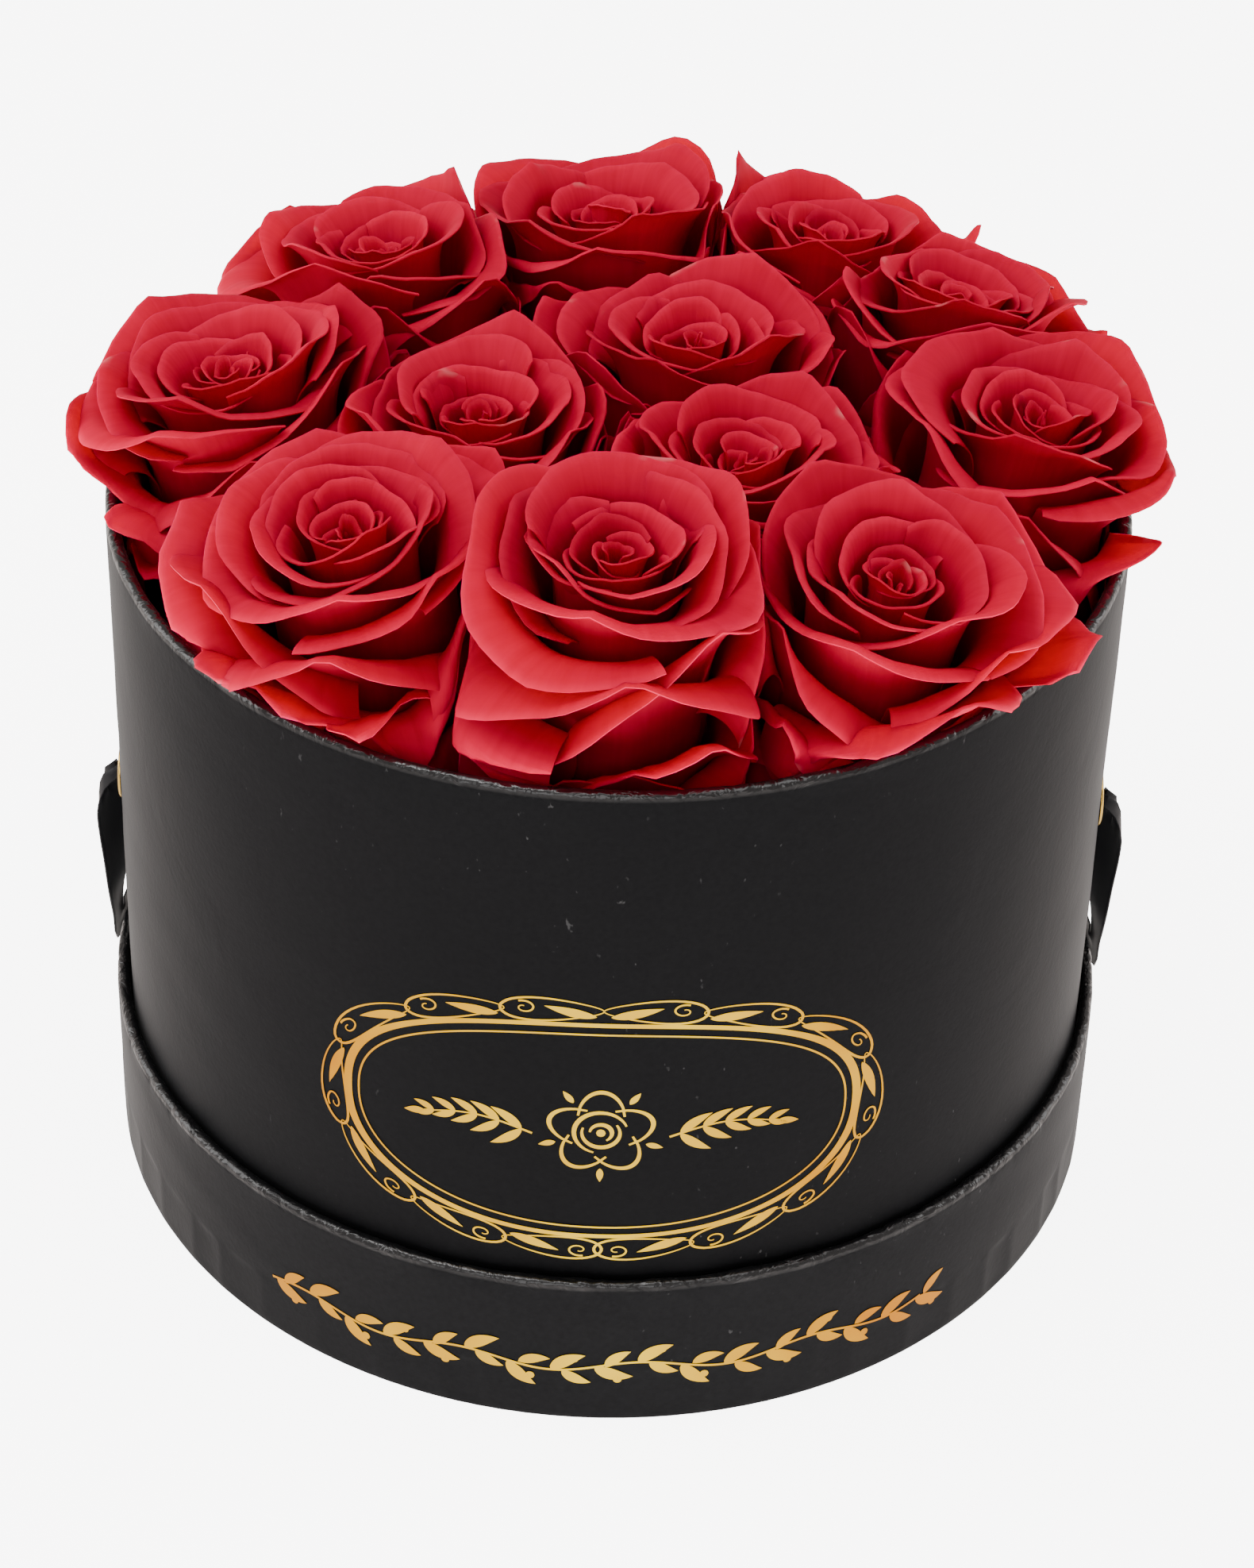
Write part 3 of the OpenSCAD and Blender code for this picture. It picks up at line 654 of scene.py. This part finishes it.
class Foil:
    """Strokes of foil, drawn flat in mm along and up the wall, then pressed round it."""

    def __init__(self):
        self.points, self.faces = [], []

    def stroke(self, line, widths):
        """A strip along a line, with its own width at each point."""
        line = np.asarray(line, float)
        widths = np.broadcast_to(np.asarray(widths, float), (len(line),))
        along = np.gradient(line, axis=0)
        along /= np.maximum(np.linalg.norm(along, axis=1), 1e-9)[:, None]
        side = np.stack([-along[:, 1], along[:, 0]], axis=1)
        start = len(self.points)
        for p, n, w in zip(line, side, widths):
            self.points += [tuple(p + n * w / 2), tuple(p - n * w / 2)]
        for i in range(len(line) - 1):
            a = start + 2 * i
            self.faces.append((a, a + 1, a + 3, a + 2))

    def ring(self, line, widths):
        """A closed strip."""
        line = np.asarray(line, float)
        self.stroke(np.vstack([line, line[:1], line[1:2]])[:len(line) + 1], widths)

    def leaf(self, at, angle, length, width, bend=0.0):
        """A leaf from its stalk to its tip, bent to one side."""
        t = np.linspace(0, 1, 13)
        turn = math.radians(angle) + bend * t
        step = length / 12
        x = at[0] + np.concatenate([[0], np.cumsum(np.cos(turn[:-1]) * step)])
        y = at[1] + np.concatenate([[0], np.cumsum(np.sin(turn[:-1]) * step)])
        self.stroke(np.stack([x, y], 1), width * np.sin(np.pi * t ** 0.8) ** 0.9 + 0.05)

    def dot(self, at, size):
        """A round berry."""
        t = np.linspace(-1, 1, 11)
        line = np.stack([at[0] + size * t, np.full(11, at[1])], 1)
        self.stroke(line, 2 * size * np.sqrt(np.maximum(0.0, 1 - t * t)) + 0.02)

    def press(self, name, radius):
        """Wraps the strokes round a wall of this radius and gives them their thickness."""
        flat = np.array(self.points)
        turn = flat[:, 0] / radius
        r = (radius + FOIL_CLEAR) * MM
        points = np.stack([r * np.sin(turn), -r * np.cos(turn), flat[:, 1] * MM], 1)
        piece = mesh_piece(name, points, self.faces)
        apply_modifier(piece, "SOLIDIFY", thickness=FOIL_THICK, offset=1)
        bpy.ops.object.mode_set(mode="EDIT")
        bpy.ops.mesh.select_all(action="SELECT")
        bpy.ops.mesh.normals_make_consistent(inside=False)
        bpy.ops.object.mode_set(mode="OBJECT")
        piece.data.materials.append(gold_foil)
        return piece


def superoval(w, h, power, count=160):
    """Points round an oval that is a little squarer than an ellipse."""
    t = np.linspace(0, 2 * np.pi, count, endpoint=False)
    c, s = np.cos(t), np.sin(t)
    return np.stack([w * np.sign(c) * np.abs(c) ** (2 / power),
                     h * np.sign(s) * np.abs(s) ** (2 / power)], 1)


def moved(line, at, angle):
    """A line turned and moved to its place."""
    line = np.asarray(line, float)
    c, s = math.cos(math.radians(angle)), math.sin(math.radians(angle))
    return line @ np.array([[c, s], [-s, c]]) + at


medal_low, medal_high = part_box("foil_medallion")
MEDAL_Z = (medal_low.z + medal_high.z) / 2 / MM
MEDAL_W, MEDAL_H = 50.5, 26.6
medallion = Foil()
frame_line = superoval(MEDAL_W, MEDAL_H, 2.35)
ends = np.abs(frame_line[:, 0]) / MEDAL_W
medallion.ring(frame_line + [0, MEDAL_Z], 1.0 + 0.8 * np.append(ends, ends[0]) ** 3)
medallion.ring(superoval(MEDAL_W - 2.4, MEDAL_H - 2.3, 2.3) + [0, MEDAL_Z], 0.42)
closed = np.vstack([frame_line, frame_line[:1]])
walked = np.concatenate([[0], np.cumsum(np.linalg.norm(np.diff(closed, axis=0), axis=1))])
# half the width of the frame's band, in mm
BAND_HALF = 0.9


def hug(line, spot, way):
    """A flat line bent along the frame: x runs along it from the spot, y stands off it."""
    line = np.asarray(line, float)
    at = (spot + way * line[:, 0]) % walked[-1]
    here = np.stack([np.interp(at, walked, closed[:, j]) for j in (0, 1)], 1)
    ahead = np.stack([np.interp((at + 0.5) % walked[-1], walked, closed[:, j]) for j in (0, 1)], 1) - here
    outward = np.stack([ahead[:, 1], -ahead[:, 0]], 1) / np.linalg.norm(ahead, axis=1)[:, None]
    return here + outward * (line[:, 1:] + BAND_HALF) + [0, MEDAL_Z]


# flat loops lie end to end on the outside of the frame, each with a curl and a leaf in it
SCROLLS = 14
size = walked[-1] / SCROLLS * 1.04
t = np.linspace(0, 2 * np.pi, 40)
loop = size * np.stack([(1 - np.cos(t)) / 2, 0.135 + 0.135 * np.sin(t) * (1 - 0.4 * np.cos(t))], 1)
s = np.linspace(0, 1, 26)
curl_at, curl_size = 1.2 + 6.9 * s, 0.12 * (1 - 0.8 * s)
curl = size * np.stack([0.77 + curl_size * np.cos(curl_at), 0.15 + 0.72 * curl_size * np.sin(curl_at)], 1)
leaf_line = size * np.stack([0.07 + 0.5 * s, 0.06 + 0.12 * s ** 1.3], 1)
for k in range(SCROLLS):
    way = 1 if k < SCROLLS // 2 else -1
    spot = (0.25 + (k if way > 0 else k + 1) / SCROLLS) % 1.0 * walked[-1]
    medallion.stroke(hug(loop, spot, way), 0.24 + 0.34 * np.sin(t / 2) ** 2)
    medallion.stroke(hug(curl, spot, way), 0.46 * (1 - 0.5 * s))
    medallion.stroke(hug(leaf_line, spot, way), size * 0.105 * np.sin(np.pi * s ** 0.8) ** 0.9 + 0.05)
# the line-drawn rose: five open petals with sepals between them, three coils and a centre
for step in range(5):
    t = np.linspace(-1, 1, 25)
    petal = np.stack([4.2 + 6.0 * (1 - t * t) ** 0.55, 4.4 * t], 1)
    medallion.stroke(moved(petal, (0, MEDAL_Z), 90 + 72 * step), 0.45 + 0.5 * (1 - t * t))
    medallion.leaf(moved([(9.0, 0)], (0, MEDAL_Z), 126 + 72 * step)[0], 126 + 72 * step, 3.4, 1.3)
for size, start in ((5.1, 20), (3.6, 160), (2.1, 300)):
    t = np.radians(np.linspace(start, start + 235, 26))
    coil = np.stack([size * np.cos(t), MEDAL_Z + size * np.sin(t)], 1)
    medallion.stroke(coil, 0.4 + 0.55 * np.sin(np.linspace(0, np.pi, 26)))
medallion.dot((0, MEDAL_Z), 0.9)
# a leafy spray on each side of it
for sx in (-1, 1):
    s = np.linspace(0, 1, 24)
    stalk = np.stack([sx * (13.0 + 21 * s), MEDAL_Z + 2.6 * np.sin(2.9 * s) - 1.2], 1)
    medallion.stroke(stalk, 0.5 - 0.2 * s)
    for k in range(5):
        x = 15.0 + 4.3 * k
        y = MEDAL_Z + 2.6 * math.sin(2.9 * (x - 13.0) / 21) - 1.2
        for sz in (-1, 1):
            lean = sz * (50 - 4 * k)
            heading = lean if sx > 0 else 180 - lean
            medallion.leaf((sx * x, y), heading, 7.6 - 0.8 * k, 2.0 - 0.15 * k, -sz * sx * 0.5)
    medallion.leaf((sx * 34.0, MEDAL_Z - 0.6), -12 if sx > 0 else 192, 4.4, 1.6)
foil_medallion = medallion.press("foil_ornament", box_r)
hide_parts("foil_medallion")
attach(foil_medallion, "box")

garland_low, garland_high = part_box("lid_foil_garland")
GARLAND_Z = (garland_low.z + garland_high.z) / 2 / MM
SWAY, SWAY_RUN = 1.3, 5.6
garland = Foil()
s = np.linspace(-70, 70, 260)
stem_line = GARLAND_Z + SWAY * np.sin(s / SWAY_RUN)
garland.stroke(np.stack([s, stem_line], 1), 0.55)
for k in range(-8, 9):
    x = k * 8.6
    y = GARLAND_Z + SWAY * math.sin(x / SWAY_RUN)
    heading = math.degrees(math.atan(SWAY / SWAY_RUN * math.cos(x / SWAY_RUN)))
    up = 1 if k % 2 else -1
    garland.leaf((x, y), heading + up * 50, 8.2, 2.9, -up * 0.7)
    garland.leaf((x + 2.2, y), heading - up * 46, 6.6, 2.4, up * 0.7)
    garland.dot((x + 4.6, y + up * 3.3), 0.9)
foil_garland = garland.press("lid_foil_ornament", lid_r)
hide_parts("lid_foil_garland")
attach(foil_garland, "lid")


# ---------- foam and stems ----------
# Phenolic floral foam, dark green when wet, and cut stems pushed into it.
foam, tree, shader = new_material("wet floral foam")
where = add_node(tree, "TexCoord").outputs["Object"]
cells = add_node(tree, "TexVoronoi", inputs={"Scale": 900.0}, links={"Vector": where})
tone = two_tone(tree, cells.outputs["Distance"], "#12301A", "#2F5A38")
bump = add_node(tree, "Bump", inputs={"Strength": 0.5, "Distance": 0.0004},
                links={"Height": cells.outputs["Distance"]})
fill_shader(tree, shader, {"Base Color": tone.outputs[0], "Normal": bump.outputs[0]},
            {"Roughness": 0.8})
finish_node("foam_block", foam)

rose_stem, tree, shader = new_material("green rose stem")
where = add_node(tree, "TexCoord").outputs["Object"]
streak = add_node(tree, "Mapping", inputs={"Scale": (500.0, 500.0, 60.0)}, links={"Vector": where})
fibre = add_node(tree, "TexNoise", inputs={"Scale": 1.0, "Detail": 3.0},
                 links={"Vector": streak.outputs[0]})
tone = two_tone(tree, fibre.outputs[0], "#2C4A1C", "#56752F")
fill_shader(tree, shader, {"Base Color": tone.outputs[0]},
            {"Roughness": 0.45, "Subsurface Weight": 0.1, "Subsurface Radius": (0.001, 0.002, 0.0005)})
for i in range(1, 13):
    finish_node(f"stem_{i:02d}", rose_stem)


# ---------- roses ----------
# Twelve preserved roses on their stems: deep red velvet petals, with a painted highlight on their
# thin edges and painted shade towards the base. Each rose is a spiral of cupped petals that open and roll
# back.
petal_skin, tree, shader = new_material("velvet rose petal")
uv = add_node(tree, "UVMap", {"uv_map": "UVMap"})
split = add_node(tree, "SeparateXYZ", links={"Vector": uv.outputs[0]})
where = add_node(tree, "TexCoord").outputs["Object"]
# painted shade and highlight: each petal's colour darkens towards its base, deep in the bloom, and
# lightens at its rim
along = two_tone(tree, split.outputs[1], "#780822", "#AC002A", 0.15, 0.75)
for position, colour in ((0.96, "#B2002E"), (1.0, "#BE0836")):
    along.color_ramp.elements.new(position).color = paint(colour)
veins_at = add_node(tree, "Mapping", inputs={"Scale": (30.0, 2.4, 1.0)}, links={"Vector": uv.outputs[0]})
veins = add_node(tree, "TexNoise",
                 inputs={"Scale": 1.0, "Detail": 5.0, "Roughness": 0.6, "Distortion": 0.6},
                 links={"Vector": veins_at.outputs[0]})
mottle = add_node(tree, "TexNoise", inputs={"Scale": 160.0, "Detail": 5.0, "Roughness": 0.65},
                  links={"Vector": where})
shade = add_node(tree, "MapRange",
                 inputs={"From Min": 0.3, "From Max": 0.7, "To Min": 0.0, "To Max": 0.27},
                 links={"Value": veins.outputs[0]})
veined = add_node(tree, "Mix", {"data_type": "RGBA", "blend_type": "MULTIPLY"}, {7: paint("#B05560")},
                  {0: shade.outputs[0], 6: along.outputs[0]})
spot = add_node(tree, "MapRange",
                inputs={"From Min": 0.45, "From Max": 0.8, "To Min": 0.0, "To Max": 0.25},
                links={"Value": mottle.outputs[0]})
warm = add_node(tree, "Mix", {"data_type": "RGBA"}, {7: paint("#B80034")},
                {0: spot.outputs[0], 6: veined.outputs[2]})
bump = add_node(tree, "Bump", inputs={"Strength": 0.22, "Distance": 0.0002},
                links={"Height": veins.outputs[0]})
petal_number = add_node(tree, "Math", {"operation": "FLOOR"}, links={0: split.outputs[0]})
own = add_node(tree, "TexWhiteNoise", {"noise_dimensions": "1D"}, links={"W": petal_number.outputs[0]})
depth = add_node(tree, "MapRange", inputs={"To Min": 0.80, "To Max": 1.08},
                 links={"Value": own.outputs["Value"]})
varied = add_node(tree, "HueSaturation", links={"Color": warm.outputs[2], "Value": depth.outputs[0]})
# a few petal edges are bruised pale
bruise = add_node(tree, "TexNoise", inputs={"Scale": 75.0, "Detail": 3.0}, links={"Vector": where})
deep = add_node(tree, "MapRange", inputs={"From Min": 0.66, "From Max": 0.72},
                links={"Value": bruise.outputs[0]})
outer = add_node(tree, "MapRange", inputs={"From Min": 0.965, "From Max": 0.99, "To Max": 0.4},
                 links={"Value": split.outputs[1]})
scar = add_node(tree, "Math", {"operation": "MULTIPLY"}, links={0: deep.outputs[0], 1: outer.outputs[0]})
scarred = add_node(tree, "Mix", {"data_type": "RGBA"}, {7: paint("#C97A78")},
                   {0: scar.outputs[0], 6: varied.outputs[0]})
fill_shader(tree, shader, {"Base Color": scarred.outputs[2], "Normal": bump.outputs[0]},
            {"Roughness": 0.62, "Specular IOR Level": 0.03, "Subsurface Weight": 0.14,
             "Subsurface Radius": (0.004, 0.0004, 0.0006), "Subsurface Scale": 1.0})

RIM_Z = box_top * MM
# petals keep this far from the axis inside the lining, and hang out over the rim to this far
THROAT_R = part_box("wall_lining")[1].x - 1.0 * MM
OVERHANG_R = 109.0 * MM


def rose_frame(i):
    """Foot, axis and bud height of rose i, read from its stem and its bloom."""
    co = np.array([tuple(v.co) for v in nodes[f"stem_{i:02d}"].data.vertices])
    low, high = co[:, 2].min(), co[:, 2].max()
    bottom = co[co[:, 2] < low + 0.0012]
    cut = co[co[:, 2] > high - 0.0022]
    foot = (cut.min(0) + cut.max(0)) / 2
    end = (bottom.min(0) + bottom.max(0)) / 2
    axis = foot - end
    axis /= np.linalg.norm(axis)
    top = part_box(f"bloom_{i:02d}")[1].z
    return foot, axis, top


# each rose: how wide it opens in mm, first angle, way it winds, how far its outer
# petals hang below the bud, how much they open, seed
ROSES = [
    (35, 20, 1, 5, 0.95, 11),
    (32, 80, -1, 0, 0.95, 12),
    (36, 200, 1, -5, 1.0, 13),
    (36, 10, 1, -1, 1.0, 14),
    (33, 120, -1, -2, 1.0, 15),
    (32.5, 60, 1, 0, 1.0, 16),
    (30.5, 150, -1, 2, 1.0, 17),
    (27, 300, 1, 12, 0.75, 18),
    (30, 240, -1, 2, 1.0, 19),
    (30, 330, 1, -1, 0.9, 20),
    (32, 100, -1, -2, 0.9, 21),
    (33, 45, 1, -2, 1.0, 22),
]
# core, inner, middle, outer, guard and crumpled guard petals: how many, first and last radius
# of the cup in mm, height of the rim against the bud in mm, lean of the rim and roll of the
# edge in degrees, then the pointed tip in mm, how far the corners drop as a share of the
# length, raggedness in mm, tilt in mm and how free the petal stands of the next ones
LAYERS = [
    (4, (1.5, 4.4), (-1.5, 0.3), (-8, 0), (10, 25), 0.6, 0.05, 0.16, 0.6, 0.0),
    (6, (5.8, 11.6), (1.0, 4.0), (0, 12), (20, 50), 0.9, 0.08, 0.22, 2.2, 0.1),
    (7, (12.8, 19.6), (4.4, 0.6), (12, 30), (50, 90), 2.8, 0.11, 0.34, 4.2, 0.45),
    (5, (20.4, 23.6), (-1.0, -7.0), (32, 54), (90, 125), 4.6, 0.15, 0.6, 5.0, 1.0),
    (5, (24.0, 25.6), (-10.0, -19.0), (56, 74), (70, 115), 5.6, 0.20, 1.7, 4.0, 1.0),
    (4, (24.6, 26.0), (-17.0, -23.0), (46, 64), (60, 110), 4.0, 0.16, 2.9, 3.0, 1.0),
]
ROSE_COUNT = len(ROSES)
frames = [rose_frame(i + 1) for i in range(ROSE_COUNT)]
# the point of each rose from which its petals press against the next roses
cell_points = []
for foot, axis, top in frames:
    tall = (top - foot[2]) / axis[2]
    cell_points.append(foot + axis * tall * 0.62)


def smoothstep(a, b, x):
    """A soft step from 0 at a to 1 at b."""
    t = np.clip((x - a) / (b - a), 0, 1)
    return t * t * (3 - 2 * t)


# squares across and along a petal
PETAL_U, PETAL_V = 26, 24


def petal_grid(dice, free, belly, top, length, half_width, lean, roll, tip, drop, ragged, tilt):
    """One petal about the rose's axis in metres: its radius, turn and height, base to edge."""
    u = np.linspace(-1, 1, PETAL_U + 1)[:, None]
    v = 1 - (1 - np.linspace(0, 1, PETAL_V + 1)[None, :]) ** 1.5
    one, two, three = (dice.uniform(0, 6.28) for _ in range(3))
    skew = dice.uniform(-0.4, 0.4)
    edge = np.abs(u)
    corner = np.minimum(1, 1.25 * np.abs(u - skew)) ** 0.85
    column = length * (1 - drop * (1 + 0.5 * np.sign(tilt) * u) * edge ** 3.2)
    column = column + tip * np.exp(-(np.abs(u - skew) / 0.22) ** 1.25)
    notches = (np.sin(9 * u + two) + np.sin(23 * u + one)) / 2
    column = column * (1 + 0.014 * np.sin(3.1 * u + one)) + ragged * notches
    # the surface leans out from the foot, stands upright at the belly and opens to the rim
    tuck = 1 - 0.5 * (1 - free) * edge ** 2
    theta = math.radians(64) * (1 - smoothstep(0.0, 0.40, v))
    theta = theta + math.radians(lean) * tuck * smoothstep(0.40, 0.95, v)
    start = 0.80 + 0.04 * free - (0.12 + 0.18 * free) * corner ** 1.3
    held = 0.75 + 0.25 * corner - 0.6 * edge ** 2
    amount = math.radians(roll) * (free * (0.14 + 0.86 * corner) + (1 - free) * held)
    theta = theta + amount * smoothstep(0, 1, (v - start) / (1 - start))
    theta = theta + math.radians(40) * smoothstep(1 - 1.6 * MM / length, 1.0, v) + 0 * u
    dv = np.diff(v, axis=1)
    mid = (theta[:, 1:] + theta[:, :-1]) / 2
    zero = np.zeros((PETAL_U + 1, 1))
    r = np.concatenate([zero, np.cumsum(np.sin(mid) * dv, axis=1)], axis=1) * column
    z = np.concatenate([zero, np.cumsum(np.cos(mid) * dv, axis=1)], axis=1) * column
    centre = PETAL_U // 2
    r += belly - np.interp(0.5, v[0], r[centre])
    r = np.maximum(r, 0.6 * MM)
    z += top - z[centre].max()
    turn = u * min(2.2, half_width / belly) * (0.35 + 0.65 * smoothstep(0, 0.45, v))
    r = r + (0.3 * MM * u - (1 - free) * 0.7 * MM * edge ** 4) * smoothstep(0.0, 0.3, v)
    r = r + v ** 2 * (min(0.7 * MM, belly / 12) + 0.9 * ragged) * np.sin(2.6 * u + three)
    r = r + v ** 4 * ragged * (np.sin(7.0 * u + one + 3 * v) + 0.6 * np.sin(15.0 * u + two - 11 * v))
    z = z + v ** 3 * 1.2 * MM * np.sin(3.0 * u + two) + v ** 2 * tilt * u
    return r, turn, z


def crowd(points, i):
    """Presses petals flat against the next roses, the lining and the open rim."""
    centre = cell_points[i]
    mine = ROSES[i][0] * MM
    for j in range(ROSE_COUNT):
        if j == i:
            continue
        d = cell_points[j] - centre
        far = np.linalg.norm(d)
        if far > mine + ROSES[j][0] * MM + 12 * MM:
            continue
        n = d / far
        limit = far * (0.5 + (mine ** 2 - (ROSES[j][0] * MM) ** 2) / (2 * far * far))
        wobble = np.sin(points[:, 2] / (5 * MM) + i + j)
        wobble = wobble * np.sin(points[:, 0] / (7 * MM) + points[:, 1] / (6 * MM))
        limit = limit + (1 if i < j else -1) * 1.3 * MM * wobble - 0.4 * MM
        start = limit * 0.72
        t = (points - centre) @ n
        room = limit - start
        pressed = start + room * (1 - np.exp(-(t - start) / room))
        t_new = np.where(t > start, pressed, t)
        points = points + (t_new - t)[:, None] * n
    radius = np.hypot(points[:, 0], points[:, 1])
    over = smoothstep(RIM_Z + 0.6 * MM, RIM_Z + 6 * MM, points[:, 2])
    limit = THROAT_R + over * (OVERHANG_R - THROAT_R)
    start = limit - 8 * MM
    room = limit - start
    new_radius = np.where(radius > start, start + room * (1 - np.exp(-(radius - start) / room)), radius)
    points = points.copy()
    points[:, :2] *= (new_radius / np.maximum(radius, 1e-6))[:, None]
    return points


PETAL_THICK = 0.32 * MM
GOLDEN_ANGLE = math.radians(137.5)


def rose(i):
    """All the petals of rose i as one mesh."""
    reach, first, way, skirt, opened, seed = ROSES[i]
    dice = random.Random(seed)
    foot, axis, top_z = frames[i]
    tall_bloom = (top_z - foot[2]) / axis[2]
    x_axis = np.cross([0, 1, 0], axis)
    x_axis /= np.linalg.norm(x_axis)
    y_axis = np.cross(axis, x_axis)
    points, faces, uvs = [], [], []
    scale = reach / 32
    petals = []
    for layer, (count, *spans) in enumerate(LAYERS):
        count += dice.choice((-1, 0, 0, 1)) if 0 < layer < 3 else 0
        for n in range(count):
            petals.append((layer, *(a + (b - a) * n / (count - 1) for a, b in spans[:4])))
    for k, (layer, radius, rim, lean, roll) in enumerate(petals):
        tip, drop, ragged, tilt, free = LAYERS[layer][5:]
        belly = (radius + dice.uniform(-0.45, 0.45)) * (scale if layer > 1 else 1.0) * MM
        hang = skirt * (min(layer, 4) - 2) / 2 if layer >= 3 else 0
        top = tall_bloom + (rim + dice.uniform(-1.1, 1.1) - hang) * MM
        lean = lean * (opened if layer > 1 else 1) + dice.uniform(-3, 3)
        roll = roll * dice.uniform(0.85, 1.15)
        half_width = min(26.0, 5 + 1.05 * radius) * dice.uniform(0.94, 1.06) * MM
        length = (tall_bloom - 4 * MM) * (0.62 + 0.4 * min(1.0, radius / 18))
        tip = (0.2 + tip * dice.uniform(0.4, 1.2)) * MM
        tilt = tilt * dice.choice((-1, -1, -1, 1)) * dice.uniform(0.4, 1.0) * MM
        r, turn, z = petal_grid(dice, free, belly, top, length, half_width, lean, roll, tip, drop,
                                ragged * MM, tilt)
        azimuth = math.radians(first) + way * (k * GOLDEN_ANGLE + dice.uniform(-0.15, 0.15) + turn)
        local = np.stack([r * np.cos(azimuth), r * np.sin(azimuth), z], axis=-1).reshape(-1, 3)
        world_points = foot + local[:, :1] * x_axis + local[:, 1:2] * y_axis + local[:, 2:] * axis
        world_points = crowd(world_points, i)
        base = len(points)
        points.extend(world_points)
        rows = PETAL_V + 1
        u = (np.arange(PETAL_U + 1) / PETAL_U)[:, None] * np.ones((1, rows))
        v = (1 - (1 - np.arange(rows) / PETAL_V) ** 1.5)[None, :] * np.ones((PETAL_U + 1, 1))
        uvs.extend(np.stack([u + k, v], -1).reshape(-1, 2))
        for a in range(PETAL_U):
            for b in range(PETAL_V):
                q = base + a * rows + b
                face = (q, q + 1, q + rows + 1, q + rows)
                faces.append(face if way > 0 else (face[0], face[3], face[2], face[1]))
    piece = mesh_piece(f"rose_petals_{i + 1:02d}", points, faces, uvs)
    apply_modifier(piece, "SOLIDIFY", thickness=PETAL_THICK, offset=0)
    smooth(piece, 75)
    piece.data.materials.append(petal_skin)
    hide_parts(f"bloom_{i + 1:02d}")
    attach(piece, "box")


for i in range(ROSE_COUNT):
    rose(i)
